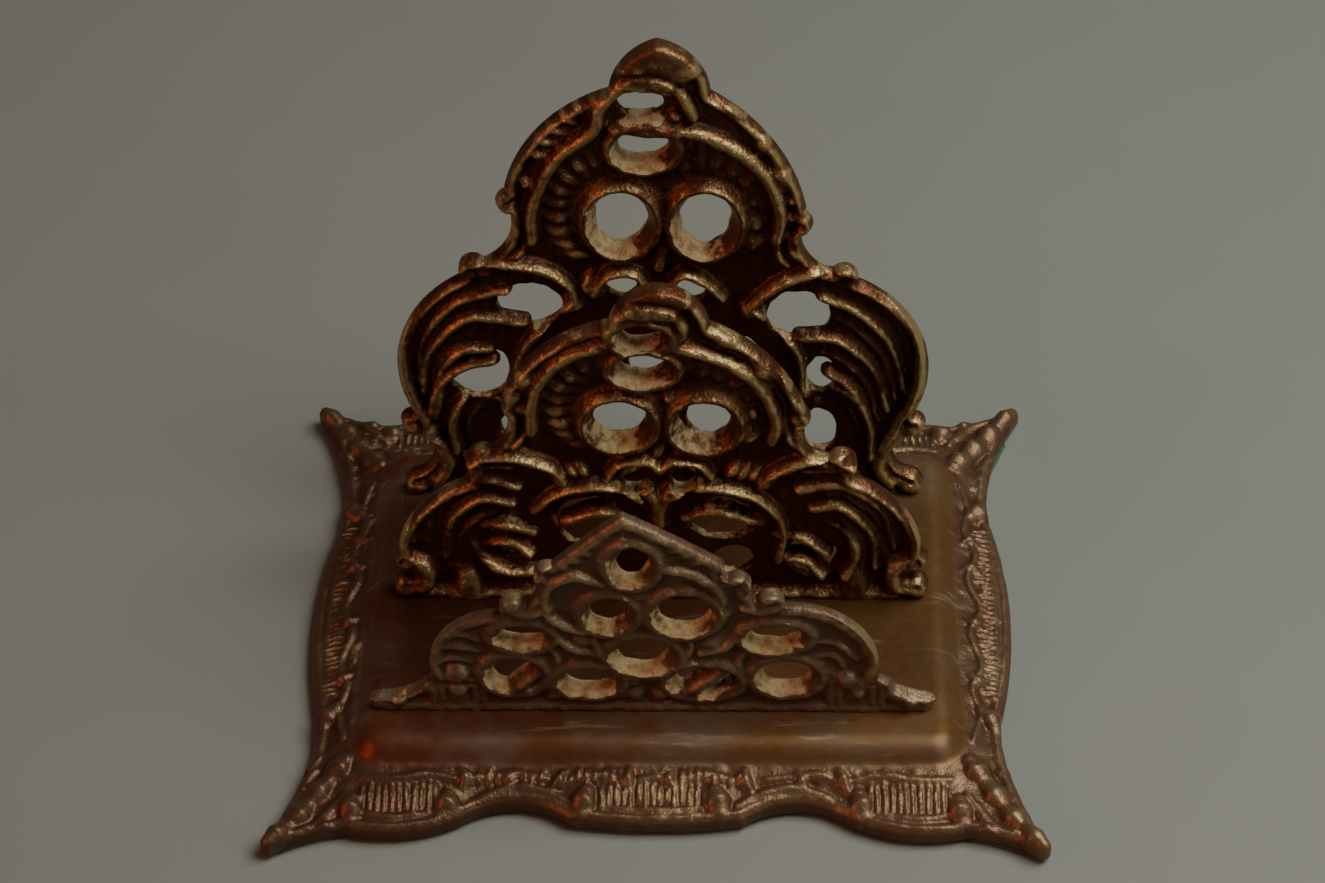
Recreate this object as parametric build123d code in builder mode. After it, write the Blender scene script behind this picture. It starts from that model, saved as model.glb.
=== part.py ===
"""Letter rack of cast brass: a cornered base on felt pads and three pierced panels that stand behind each other.

Frame: +Z up, the front of the rack faces -Y, and the origin is on the desk under the middle of the base.
All lengths are in millimetres.
"""

import os

from build123d import *

# Base casting, from corner tip to corner tip
base_width = 180.0
base_depth = 151.0
rim_thickness = 3.0
plateau_height = 13.0
plateau_width = 141.0
plateau_depth = 105.0
plateau_corner_radius = 6.0
plateau_edge_radius = 2.4
shoulder_height = 9.0
shoulder_width = 147.0
shoulder_depth = 112.0
skirt_width = 158.0
skirt_depth = 121.0
base_wall = 3.4
tip_radius = 2.2

# Wavy rim of the base, measured from the middle of the base
front_lobe_reach = 67.6
front_waist_reach = 61.4
front_side_lobe_reach = 70.2
side_lobe_reach = 84.4
side_waist_reach = 80.2

# Knobs, ribs and corner ridges on the border
border_knob_radius = 3.2
border_knob_lift = 0.4
border_rib_radius = 1.5
border_rib_pitch = 3.6
corner_ridge_radius = 2.6

# Felt pads under the corners
felt_thickness = 1.2
felt_inset = 1.6
felt_arm = 18.0
felt_corner_radius = 2.0
felt_slip_out = 1.6
felt_slip_back = 4.0

# Places of the panels on the plateau
panel_pitch = 36.5
front_panel_face = 41.0

# Thicknesses of the panel castings: a plain web with scrolls raised on its face
web_thickness = 3.8
scroll_relief = 2.8
leaf_relief = 1.4
rail_height = 4.5
rim_roll = 3.0
arch_roll = 2.4
scroll_width = 4.6
stem_width = 2.6
collar_width = 2.2
tip_width = 1.2
shoulder_knob_radius = 3.2
neck_knob_radius = 3.4
foot_knob_radius = 3.0
curl_knob_radius = 2.6
bead_radius = 2.0

# Rear and middle panels: a lower tier of large scrolls and an upper tier with the crest
panel_half_span = 64.0
rear_lower_tier = 76.0
rear_upper_tier = 60.0
middle_lower_tier = 48.0
middle_upper_tier = 46.9

# Front panel, with its low gable
front_half_span = 52.0
front_height = 60.8
front_knob_radius = 3.2
front_web_thickness = 2.6
front_scroll_relief = 1.8

# Screws that hold the panels from beneath
screw_radius = 1.5
screw_grip = 6.0
screw_head_radius = 3.0
screw_head_height = 2.0
slot_width = 0.8
slot_depth = 0.9
screw_offset = 46.0
screw_clearance = 0.2
thread_clearance = 0.02
lug_width = 9.0
lug_height = 8.5
drill_end_gap = 1.0

# Outline of the base rim, quarter by quarter: places along the front as shares of half the base width,
# and along the side as shares of half the base depth
front_lobe_end_share = 0.22
front_waist_share = 0.365
front_side_lobe_start_share = 0.50
front_side_lobe_end_share = 0.79
front_lobe_drop_share = 0.976
side_lobe_drop_share = 0.985
corner_hollow_shares = (0.89, 0.945)
side_hollow_shares = (0.935, 0.80)
side_waist_share = 0.47
border_knob_seat_shares = (0.6, 1.2)

# Upper tier, shares of the half span and of the tier's height above the neck
crest_shares = ((-0.15, 0.70), (-0.122, 0.855), (0.008, 0.97), (0.155, 0.85), (0.178, 0.69))
left_shoulder_shares = ((-0.15, 0.755), (-0.395, 0.60), (-0.54, 0.30))
right_shoulder_shares = ((0.175, 0.75), (0.40, 0.53), (0.525, 0.18))
left_neck_shares = ((-0.54, 0.20), (-0.565, 0.03), (-0.715, -0.075))
right_neck_shares = ((0.525, 0.12), (0.55, -0.03), (0.695, -0.125))
neck_foot_shares = ((-0.60, -0.30), (0.60, -0.30))
rear_shoulder_knob_shares = ((-0.54, 0.242), (0.515, 0.13))
middle_shoulder_knob_shares = ((-0.51, 0.235), (0.505, 0.17))
rear_neck_knob_shares = ((-0.685, -0.085), (0.68, -0.135))
middle_neck_knob_shares = ((-0.635, -0.09), (0.67, -0.12))
upper_roll_shares = (
    ((-0.145, 0.72), (-0.118, 0.855), (0.008, 0.972)),
    ((0.172, 0.71), (0.15, 0.85), (0.008, 0.972)),
    ((-0.17, 0.745), (-0.392, 0.585), (-0.53, 0.31)),
    ((0.19, 0.735), (0.39, 0.525), (0.515, 0.20)),
)
upper_arch_shares = (
    ((-0.455, 0.11), (-0.36, 0.43), (-0.14, 0.60)),
    ((0.445, 0.12), (0.34, 0.44), (0.10, 0.597)),
)
upper_stem_shares = ((0.02, 0.0), (0.035, 0.14), (0.02, 0.27))
upper_bead_shares = ((0.045, 0.226), (0.085, 0.667), (0.085, 0.50))
# Each hole: its centre, then its half width and half height, as shares of the same sizes
upper_hole_shares = (
    ((-0.05, 0.715), (0.09, 0.075)),
    ((-0.045, 0.52), (0.105, 0.084)),
    ((-0.135, 0.162), (0.113, 0.145)),
    ((0.172, 0.155), (0.110, 0.147)),
)

# Lower tier of the rear panel, shares of the half span and of the tier's height above the plateau
rear_lower_shares = {
    "left_scroll": ((-0.66, 0.90), (-0.945, 0.575), (-0.895, 0.345)),
    "right_scroll": ((0.66, 0.875), (0.955, 0.56), (0.90, 0.335)),
    "left_foot": ((-0.895, 0.345), (-0.86, 0.19), (-0.89, 0.05)),
    "right_foot": ((0.90, 0.335), (0.86, 0.18), (0.89, 0.05)),
    "scrolls": (
        ((-0.685, 0.885), (-0.955, 0.58), (-0.895, 0.315)),
        ((-0.32, 0.79), (-0.48, 0.905), (-0.69, 0.905)),
        ((0.68, 0.865), (0.965, 0.56), (0.90, 0.305)),
        ((0.33, 0.78), (0.50, 0.89), (0.685, 0.875)),
        ((-0.955, 0.30), (-0.845, 0.17), (-0.955, 0.055)),
        ((0.955, 0.29), (0.845, 0.165), (0.955, 0.055)),
    ),
    "arches": (
        ((-0.545, 0.46), (-0.29, 0.79), (-0.03, 0.66)),
        ((0.525, 0.44), (0.28, 0.77), (0.03, 0.66)),
        ((-0.545, 0.46), (-0.52, 0.28), (-0.40, 0.15)),
        ((0.525, 0.44), (0.50, 0.27), (0.38, 0.15)),
    ),
    "leaves": (
        ((-0.88, 0.62), (-0.75, 0.76), (-0.60, 0.80)),
        ((-0.87, 0.50), (-0.74, 0.65), (-0.55, 0.68)),
        ((0.88, 0.60), (0.77, 0.68), (0.62, 0.71)),
        ((0.86, 0.48), (0.74, 0.59), (0.55, 0.62)),
        ((-0.84, 0.30), (-0.78, 0.38), (-0.62, 0.37)),
        ((0.82, 0.26), (0.75, 0.40), (0.56, 0.41)),
    ),
    "foot_knobs": ((-0.955, 0.30), (0.955, 0.29)),
    "curl_knobs": ((-0.325, 0.80), (0.335, 0.79)),
    "stem": ((0.02, 0.05), (0.03, 0.30), (0.015, 0.46)),
    "holes": (
        ((-0.1375, 0.859), (0.0625, 0.05)),
        ((0.109, 0.845), (0.066, 0.055)),
        ((-0.484, 0.783), (0.128, 0.0895)),
        ((0.516, 0.743), (0.128, 0.10)),
        ((-0.6875, 0.513), (0.122, 0.117)),
        ((0.60, 0.493), (0.0625, 0.079)),
        ((0.60, 0.263), (0.07, 0.092)),
        ((-0.586, 0.276), (0.04, 0.053)),
        ((-0.156, 0.329), (0.125, 0.112)),
        ((0.197, 0.329), (0.117, 0.112)),
        ((-0.047, 0.542), (0.086, 0.076)),
        ((-0.305, 0.579), (0.109, 0.092)),
        ((0.266, 0.572), (0.117, 0.092)),
    ),
}

# Lower tier of the middle panel, in the same shares
middle_lower_shares = {
    "left_scroll": ((-0.62, 0.74), (-0.885, 0.47), (-0.93, 0.24)),
    "right_scroll": ((0.63, 0.77), (0.89, 0.48), (0.925, 0.24)),
    "left_foot": ((-0.93, 0.24), (-0.88, 0.15), (-0.89, 0.05)),
    "right_foot": ((0.925, 0.24), (0.88, 0.15), (0.89, 0.05)),
    "scrolls": (
        ((-0.65, 0.73), (-0.895, 0.465), (-0.945, 0.24)),
        ((-0.34, 0.75), (-0.46, 0.875), (-0.65, 0.79)),
        ((0.66, 0.76), (0.90, 0.47), (0.94, 0.24)),
        ((0.37, 0.74), (0.48, 0.88), (0.67, 0.80)),
        ((-0.955, 0.235), (-0.87, 0.15), (-0.955, 0.075)),
        ((0.955, 0.235), (0.87, 0.15), (0.955, 0.075)),
    ),
    "arches": (
        ((-0.46, 0.52), (-0.266, 0.74), (-0.047, 0.63)),
        ((0.45, 0.46), (0.25, 0.74), (0.047, 0.65)),
        ((-0.46, 0.52), (-0.49, 0.30), (-0.42, 0.12)),
        ((0.45, 0.46), (0.455, 0.28), (0.41, 0.12)),
    ),
    "leaves": (
        ((-0.84, 0.42), (-0.74, 0.62), (-0.55, 0.66)),
        ((-0.80, 0.26), (-0.74, 0.46), (-0.60, 0.56)),
        ((0.83, 0.42), (0.74, 0.60), (0.56, 0.66)),
        ((0.80, 0.22), (0.77, 0.42), (0.62, 0.52)),
    ),
    "foot_knobs": ((-0.95, 0.24), (0.95, 0.24)),
    "curl_knobs": ((-0.345, 0.76), (0.375, 0.75)),
    "stem": ((0.0, 0.05), (0.012, 0.32), (0.0, 0.60)),
    "holes": (
        ((-0.085, 0.79), (0.056, 0.09)),
        ((0.09, 0.79), (0.056, 0.09)),
        ((-0.555, 0.396), (0.086, 0.167)),
        ((0.5625, 0.26), (0.10, 0.15)),
        ((-0.25, 0.479), (0.135, 0.18)),
        ((0.234, 0.51), (0.135, 0.145)),
        ((0.27, 0.23), (0.085, 0.10)),
    ),
}
rail_end_share = 0.90
foot_tip_share = 0.955

# Front panel, shares of its half span and of its height above the plateau
gable_shares = ((-0.46, 0.702), (-0.135, 0.969), (0.265, 0.74))
front_left_side_shares = ((-0.53, 0.585), (-0.64, 0.47))
front_right_side_shares = ((0.46, 0.554), (0.55, 0.507))
front_left_scroll_shares = ((-0.64, 0.47), (-0.93, 0.345), (-0.97, 0.16))
front_right_scroll_shares = ((0.55, 0.507), (0.87, 0.395), (0.955, 0.18))
front_left_foot_shares = ((-0.97, 0.16), (-1.13, 0.10), (-1.30, 0.045))
front_right_foot_shares = ((0.955, 0.18), (1.10, 0.11), (1.25, 0.05))
front_rail_shares = (-1.24, 1.19)
front_knob_shares = ((-0.46, 0.704), (0.36, 0.65), (-0.62, 0.535), (0.505, 0.56))
front_roll_shares = (
    ((-0.635, 0.475), (-0.935, 0.35), (-0.975, 0.17)),
    ((0.54, 0.515), (0.875, 0.40), (0.96, 0.19)),
    ((-0.46, 0.552), (-0.33, 0.674), (-0.16, 0.615)),
    ((0.07, 0.62), (0.22, 0.652), (0.33, 0.562)),
    ((-0.46, 0.552), (-0.45, 0.424), (-0.34, 0.34)),
    ((0.33, 0.562), (0.36, 0.446), (0.29, 0.35)),
)
front_gable_roll_shares = (
    ((-0.465, 0.70), (-0.295, 0.843), (-0.135, 0.973)),
    ((-0.135, 0.973), (0.07, 0.863), (0.275, 0.743)),
)
front_leaf_shares = (
    ((-0.97, 0.085), (-1.10, 0.07), (-1.23, 0.04)),
    ((0.93, 0.09), (1.06, 0.075), (1.19, 0.04)),
)
front_hole_shares = (
    ((-0.096, 0.7585), (0.092, 0.092)),
    ((-0.203, 0.51), (0.10, 0.083)),
    ((0.125, 0.513), (0.135, 0.096)),
    ((-0.058, 0.292), (0.14, 0.088)),
    ((-0.585, 0.393), (0.115, 0.055)),
    ((0.525, 0.395), (0.13, 0.061)),
    ((-0.635, 0.191), (0.12, 0.08)),
    ((-0.30, 0.157), (0.13, 0.064)),
    ((0.205, 0.159), (0.145, 0.07)),
    ((0.575, 0.185), (0.13, 0.082)),
)

panel_depth = web_thickness + scroll_relief
front_panel_depth = front_web_thickness + front_scroll_relief
base_underside = felt_thickness
ceiling_height = plateau_height - base_wall
panel_faces = {
    "front": -front_panel_face,
    "middle": -front_panel_face + panel_pitch,
    "rear": -front_panel_face + 2 * panel_pitch,
}


def scaled(shares, half_span, low, height):
    """Points of a panel's face from shares of its half span and of one tier of its height."""
    return [Vector(x * half_span, low + z * height) for x, z in shares]


def band(points, widths):
    """Add a round-ended band along the arc through three points, with its widths at the start, middle and end."""
    centre = ThreePointArc(*points, mode=Mode.PRIVATE).arc_center
    outward = [(point - centre).normalized() for point in points]
    outer = [point + way * (width / 2) for point, way, width in zip(points, outward, widths)]
    inner = [point - way * (width / 2) for point, way, width in zip(points, outward, widths)]
    caps = []
    for number in (0, -1):
        onward = Vector(-outward[number].Y, outward[number].X)
        if onward.dot(points[1] - points[number]) > 0:
            onward = -onward
        caps.append(points[number] + onward * (widths[number] / 2))
    with BuildLine() as edge:
        ThreePointArc(*outer)
        ThreePointArc(outer[-1], caps[-1], inner[-1])
        ThreePointArc(*reversed(inner))
        ThreePointArc(inner[0], caps[0], outer[0])
    make_face(edge.edges())


def rolls(shares, half_span, low, height, width):
    """Add one even band along each arc of a table."""
    for arc in shares:
        band(scaled(arc, half_span, low, height), (width, width, width))


def leaves(shares, half_span, low, height):
    """Add one pointed leaf along each arc of a table, broad at its root."""
    for arc in shares:
        band(scaled(arc, half_span, low, height), (scroll_width, scroll_width, tip_width))


def discs(shares, half_span, low, height, radius):
    """Add a round disc at each place of a table."""
    with Locations(*scaled(shares, half_span, low, height)):
        Circle(radius)


def holes(shares, half_span, low, height, grown=0, mode=Mode.SUBTRACT):
    """Cut an oval hole at each place of a table, or add the grown ovals around the holes."""
    for place, size in shares:
        with Locations(*scaled([place], half_span, low, height)):
            Ellipse(size[0] * half_span + grown, size[1] * height + grown, mode=mode)


def knobs(shares, half_span, low, height, radius, face):
    """Add round knobs that stand on the web and reach the panel's face."""
    for point in scaled(shares, half_span, low, height):
        with Locations((point.X, face + radius, point.Y)):
            Sphere(radius)


def screw_lugs(face):
    """Add the bottom rail's two lugs and cut their tapped holes."""
    with Locations(*[(side * screw_offset, face + panel_depth / 2, plateau_height) for side in (-1, 1)]):
        Box(lug_width, panel_depth, lug_height, align=(Align.CENTER, Align.CENTER, Align.MIN))
    with Locations(*[(side * screw_offset, face + panel_depth / 2, plateau_height) for side in (-1, 1)]):
        Cylinder(
            screw_radius + thread_clearance,
            screw_grip + drill_end_gap,
            align=(Align.CENTER, Align.CENTER, Align.MIN),
            mode=Mode.SUBTRACT,
        )


def face_plane(y):
    """The upright drawing plane of a panel at a depth, facing the front."""
    return Plane.XZ.offset(-y)


def ornate_panel(face, lower_tier, upper_tier, lower_shares, shoulder_knob_shares, neck_knob_shares):
    """A pierced panel with a crest, an arched upper tier and two large scrolls below."""
    low = (panel_half_span, plateau_height, lower_tier)
    high = (panel_half_span, plateau_height + lower_tier, upper_tier)
    rail_end = rail_end_share * panel_half_span

    with BuildPart() as panel:
        # Plain web: crest, upper tier with its neck, lower tier with its feet
        with BuildSketch(face_plane(face + panel_depth)):
            crest = scaled(crest_shares, *high)
            with BuildLine():
                ThreePointArc(*crest[0:3])
                ThreePointArc(*crest[2:5])
                Line(crest[4], crest[0])
            make_face()
            left_shoulder = scaled(left_shoulder_shares, *high)
            right_shoulder = scaled(right_shoulder_shares, *high)
            left_neck = scaled(left_neck_shares, *high)
            right_neck = scaled(right_neck_shares, *high)
            neck_foot = scaled(neck_foot_shares, *high)
            with BuildLine():
                ThreePointArc(*left_shoulder)
                Line(left_shoulder[2], left_neck[0])
                ThreePointArc(*left_neck)
                Polyline(left_neck[2], neck_foot[0], neck_foot[1], right_neck[2])
                ThreePointArc(*reversed(right_neck))
                Line(right_neck[0], right_shoulder[2])
                ThreePointArc(*reversed(right_shoulder))
                Line(right_shoulder[0], left_shoulder[0])
            make_face()
            left_scroll = scaled(lower_shares["left_scroll"], *low)
            right_scroll = scaled(lower_shares["right_scroll"], *low)
            left_foot = scaled(lower_shares["left_foot"], *low)
            right_foot = scaled(lower_shares["right_foot"], *low)
            with BuildLine():
                ThreePointArc(*left_scroll)
                ThreePointArc(*left_foot)
                Polyline(
                    left_foot[2],
                    (-rail_end, plateau_height),
                    (rail_end, plateau_height),
                    right_foot[2],
                )
                ThreePointArc(*reversed(right_foot))
                ThreePointArc(*reversed(right_scroll))
                Line(right_scroll[0], left_scroll[0])
            make_face()
            rolls(upper_roll_shares, *high, rim_roll)
            rolls(lower_shares["scrolls"], *low, scroll_width)
            discs(shoulder_knob_shares, *high, shoulder_knob_radius)
            discs(neck_knob_shares, *high, neck_knob_radius)
            discs(lower_shares["foot_knobs"], *low, foot_knob_radius)
            foot_tip = foot_tip_share * panel_half_span
            with Locations(*[(side * foot_tip, plateau_height + foot_knob_radius) for side in (-1, 1)]):
                Circle(foot_knob_radius)
            holes(upper_hole_shares, *high)
            holes(lower_shares["holes"], *low)
        extrude(amount=web_thickness)

        # Low leaves on the web
        with BuildSketch(face_plane(face + scroll_relief)):
            leaves(lower_shares["leaves"], *low)
            holes(lower_shares["holes"], *low)
        extrude(amount=leaf_relief)

        # Raised scrolls, arches and collars on the web
        with BuildSketch(face_plane(face + scroll_relief)):
            rolls(upper_roll_shares, *high, rim_roll)
            rolls(upper_arch_shares, *high, arch_roll)
            rolls([upper_stem_shares], *high, stem_width)
            discs(upper_bead_shares, *high, bead_radius)
            holes(upper_hole_shares, *high, collar_width, Mode.ADD)
            rolls(lower_shares["scrolls"], *low, scroll_width)
            rolls(lower_shares["arches"], *low, rim_roll)
            rolls([lower_shares["stem"]], *low, stem_width)
            discs(lower_shares["curl_knobs"], *low, curl_knob_radius)
            with Locations((0, plateau_height)):
                Rectangle(2 * rail_end, rail_height, align=(Align.CENTER, Align.MIN))
            holes(upper_hole_shares, *high)
            holes(lower_shares["holes"], *low)
        extrude(amount=scroll_relief)
        knobs(shoulder_knob_shares, *high, shoulder_knob_radius, face)
        knobs(neck_knob_shares, *high, neck_knob_radius, face)
        knobs(lower_shares["foot_knobs"], *low, foot_knob_radius, face)
        split(bisect_by=face_plane(face + panel_depth), keep=Keep.TOP)
        screw_lugs(face)
    return panel


def gable_panel(face):
    """The front panel: a low gable, round holes in rows and leaf feet."""
    size = (front_half_span, plateau_height, front_height)

    with BuildPart() as panel:
        with BuildSketch(face_plane(face + front_panel_depth)):
            gable = scaled(gable_shares, *size)
            left_side = scaled(front_left_side_shares, *size)
            right_side = scaled(front_right_side_shares, *size)
            left_foot = scaled(front_left_foot_shares, *size)
            right_foot = scaled(front_right_foot_shares, *size)
            rail_left, rail_right = (share * front_half_span for share in front_rail_shares)
            with BuildLine():
                Polyline(left_side[1], left_side[0], *gable, right_side[0], right_side[1])
                ThreePointArc(*scaled(front_right_scroll_shares, *size))
                ThreePointArc(*right_foot)
                Polyline(
                    right_foot[2],
                    (rail_right, plateau_height),
                    (rail_left, plateau_height),
                    left_foot[2],
                )
                ThreePointArc(*reversed(left_foot))
                ThreePointArc(*reversed(scaled(front_left_scroll_shares, *size)))
            make_face()
            rolls(front_roll_shares[:2], *size, rim_roll)
            rolls(front_gable_roll_shares, *size, rim_roll)
            discs(front_knob_shares, *size, front_knob_radius)
            holes(front_hole_shares, *size)
        extrude(amount=front_web_thickness)

        with BuildSketch(face_plane(face + front_scroll_relief)):
            leaves(front_leaf_shares, *size)
            holes(front_hole_shares, *size)
        extrude(amount=leaf_relief)

        with BuildSketch(face_plane(face + front_scroll_relief)):
            rolls(front_roll_shares, *size, rim_roll)
            rolls(front_gable_roll_shares, *size, rim_roll)
            holes(front_hole_shares, *size, collar_width, Mode.ADD)
            rail_middle = (rail_left + rail_right) / 2
            with Locations((rail_middle, plateau_height)):
                Rectangle(rail_right - rail_left, rail_height, align=(Align.CENTER, Align.MIN))
            holes(front_hole_shares, *size)
        extrude(amount=front_scroll_relief)
        knobs(front_knob_shares, *size, front_knob_radius, face)
        split(bisect_by=face_plane(face + front_panel_depth), keep=Keep.TOP)
        screw_lugs(face)
    return panel


# Wavy outline of the base rim in one quarter, from the middle of the long edge to the middle of the short one
half_width = base_width / 2
half_depth = base_depth / 2
rim_top = base_underside + rim_thickness
lobe_shoulder = front_lobe_reach * front_lobe_drop_share
lobe_end = Vector(front_lobe_end_share * half_width, lobe_shoulder)
waist = Vector(front_waist_share * half_width, front_waist_reach)
side_lobe_start = Vector(front_side_lobe_start_share * half_width, lobe_shoulder)
side_lobe_end = Vector(front_side_lobe_end_share * half_width, front_side_lobe_reach * side_lobe_drop_share)
side_lobe_top = Vector((side_lobe_start.X + side_lobe_end.X) / 2, front_side_lobe_reach)
corner_hollow = Vector(corner_hollow_shares[0] * half_width, corner_hollow_shares[1] * half_depth)
side_hollow = Vector(side_hollow_shares[0] * half_width, side_hollow_shares[1] * half_depth)
side_waist = Vector(side_waist_reach, side_waist_share * half_depth)
tip = Vector(half_width, half_depth)
knob_side, knob_inset = (share * border_knob_radius for share in border_knob_seat_shares)
knob_height = base_underside + border_knob_radius + border_knob_lift
knob_spots = (
    lobe_end + Vector(-knob_side, -knob_inset),
    side_lobe_start + Vector(knob_side, -knob_inset),
    side_lobe_end + Vector(-knob_side, -knob_inset),
    side_waist + Vector(-knob_inset, -knob_side),
)
corners = {"front_left": (-1, -1), "front_right": (1, -1), "rear_left": (-1, 1), "rear_right": (1, 1)}


def bar(start, end, radius):
    """Add a round bar from one point to another."""
    along = end - start
    with Locations(Plane(origin=start, z_dir=along)):
        Cylinder(radius, along.length, align=(Align.CENTER, Align.CENTER, Align.MIN))


def border_ribs(start, end, reach, shoulder, turned):
    """Add a row of ribs that run from the rim of a lobe up to the plateau, on an edge or on a turned edge."""
    count = int((end - start) / border_rib_pitch)
    for number in range(count + 1):
        place = start + (end - start) * number / count
        low_end = Vector(place, reach, rim_top)
        high_end = Vector(place, shoulder, shoulder_height)
        if turned:
            low_end = Vector(low_end.Y, low_end.X, low_end.Z)
            high_end = Vector(high_end.Y, high_end.X, high_end.Z)
        bar(low_end, high_end, border_rib_radius)


with BuildPart() as base_plate:
    # Flat rim with its wavy outline
    with BuildSketch(Plane.XY.offset(base_underside)):
        with BuildLine():
            lobe_middle = Vector(lobe_end.X / 2, front_lobe_reach - (front_lobe_reach - lobe_shoulder) / 4)
            ThreePointArc((0, front_lobe_reach), lobe_middle, lobe_end)
            ThreePointArc(lobe_end, waist, side_lobe_start)
            ThreePointArc(side_lobe_start, side_lobe_top, side_lobe_end)
            ThreePointArc(side_lobe_end, corner_hollow, tip - Vector(tip_radius, 0))
            RadiusArc(tip - Vector(tip_radius, 0), tip - Vector(0, tip_radius), tip_radius)
            ThreePointArc(tip - Vector(0, tip_radius), side_hollow, side_waist)
            side_middle = Vector(side_lobe_reach - (side_lobe_reach - side_waist_reach) / 4, side_waist.Y / 2)
            ThreePointArc(side_waist, side_middle, (side_lobe_reach, 0))
            mirror(about=Plane.YZ)
            mirror(about=Plane.XZ)
        make_face()
    extrude(amount=rim_thickness)

    # Skirt that rises to the plateau
    with BuildSketch(Plane.XY.offset(base_underside)):
        RectangleRounded(skirt_width, skirt_depth, plateau_corner_radius)
    with BuildSketch(Plane.XY.offset(rim_top)):
        RectangleRounded(skirt_width, skirt_depth, plateau_corner_radius)
    with BuildSketch(Plane.XY.offset(shoulder_height)):
        RectangleRounded(shoulder_width, shoulder_depth, plateau_corner_radius)
    with BuildSketch(Plane.XY.offset(plateau_height)):
        RectangleRounded(plateau_width, plateau_depth, plateau_corner_radius)
    loft(ruled=True)
    top_edges = base_plate.faces().sort_by(Axis.Z)[-1].edges()
    fillet(top_edges, radius=plateau_edge_radius)

    # Knobs at the ends of the lobes, ribs in the lobes and ridges to the corner tips
    for side_x, side_y in corners.values():
        for spot in knob_spots:
            with Locations((side_x * spot.X, side_y * spot.Y, knob_height)):
                Sphere(border_knob_radius)
        ridge_foot = Vector(
            side_x * (half_width - 2 * tip_radius),
            side_y * (half_depth - 2 * tip_radius),
            rim_top,
        )
        ridge_head = Vector(side_x * plateau_width / 2, side_y * plateau_depth / 2, shoulder_height)
        bar(ridge_foot, ridge_head, corner_ridge_radius)
        rib_foot = front_side_lobe_reach - 2 * border_knob_radius
        rib_start = side_x * (side_lobe_start.X + border_knob_radius)
        rib_end = side_x * (side_lobe_end.X - border_knob_radius)
        low_x, high_x = sorted((rib_start, rib_end))
        border_ribs(low_x, high_x, side_y * rib_foot, side_y * shoulder_depth / 2, False)
    for side in (-1, 1):
        lobe_half = lobe_end.X - 2 * border_knob_radius
        lobe_foot = side * (front_lobe_reach - border_knob_radius)
        border_ribs(-lobe_half, lobe_half, lobe_foot, side * shoulder_depth / 2, False)
        side_half = side_waist.Y - 2 * border_knob_radius
        side_foot = side * (side_waist_reach - border_rib_radius)
        border_ribs(-side_half, side_half, side_foot, side * shoulder_width / 2, True)

    # Hollow underneath, one wall thick
    with BuildSketch(Plane.XY.offset(base_underside)):
        RectangleRounded(skirt_width - 2 * base_wall, skirt_depth - 2 * base_wall, plateau_corner_radius)
    with BuildSketch(Plane.XY.offset(shoulder_height - base_wall)):
        RectangleRounded(shoulder_width - base_wall, shoulder_depth - base_wall, plateau_corner_radius)
    with BuildSketch(Plane.XY.offset(ceiling_height)):
        RectangleRounded(plateau_width - 2 * base_wall, plateau_depth - 2 * base_wall, plateau_corner_radius)
    loft(ruled=True, mode=Mode.SUBTRACT)

    # Clearance holes for the panel screws
    for face in panel_faces.values():
        with Locations(*[(side * screw_offset, face + panel_depth / 2, ceiling_height) for side in (-1, 1)]):
            Cylinder(
                screw_radius + screw_clearance,
                base_wall,
                align=(Align.CENTER, Align.CENTER, Align.MIN),
                mode=Mode.SUBTRACT,
            )


def panel_screws(face):
    """Two slotted screws that come up through the plateau into a panel's lugs."""
    places = [(side * screw_offset, face + panel_depth / 2, ceiling_height) for side in (-1, 1)]
    with BuildPart() as screws:
        with Locations(*places):
            Cylinder(
                screw_head_radius,
                screw_head_height,
                align=(Align.CENTER, Align.CENTER, Align.MAX),
            )
            Cylinder(
                screw_radius,
                base_wall + screw_grip,
                align=(Align.CENTER, Align.CENTER, Align.MIN),
            )
        with Locations(*[Vector(*place) - Vector(0, 0, screw_head_height) for place in places]):
            Box(
                2 * screw_head_radius,
                slot_width,
                slot_depth,
                align=(Align.CENTER, Align.CENTER, Align.MIN),
                mode=Mode.SUBTRACT,
            )
    return screws


def felt_pad(side_x, side_y, slip_out, slip_back):
    """A three-cornered felt pad under one corner tip, slipped outwards and back along the side if need be."""
    along_front = (side_lobe_end - tip).normalized()
    along_side = (side_hollow - tip).normalized()
    outward = Vector(-along_side.Y, along_side.X)
    pad_tip = tip + (along_front + along_side) * felt_inset + along_side * slip_back + outward * slip_out
    points = [pad_tip, pad_tip + along_front * felt_arm, pad_tip + along_side * felt_arm]
    with BuildPart() as pad:
        with BuildSketch() as shape:
            with BuildLine():
                Polyline(*[(side_x * point.X, side_y * point.Y) for point in points], close=True)
            make_face()
            fillet(shape.vertices(), radius=felt_corner_radius)
        extrude(amount=felt_thickness)
    return pad


rear_panel = ornate_panel(
    panel_faces["rear"],
    rear_lower_tier,
    rear_upper_tier,
    rear_lower_shares,
    rear_shoulder_knob_shares,
    rear_neck_knob_shares,
)
middle_panel = ornate_panel(
    panel_faces["middle"],
    middle_lower_tier,
    middle_upper_tier,
    middle_lower_shares,
    middle_shoulder_knob_shares,
    middle_neck_knob_shares,
)
front_panel = gable_panel(panel_faces["front"])

pieces = {
    "base_plate": base_plate,
    "rear_panel": rear_panel,
    "middle_panel": middle_panel,
    "front_panel": front_panel,
}
for place, face in panel_faces.items():
    pieces[f"{place}_panel_screws"] = panel_screws(face)
for corner, (side_x, side_y) in corners.items():
    slipped = corner == "rear_right"
    slip_out = felt_slip_out if slipped else 0
    slip_back = felt_slip_back if slipped else 0
    pieces[f"felt_pad_{corner}"] = felt_pad(side_x, side_y, slip_out, slip_back)

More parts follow.
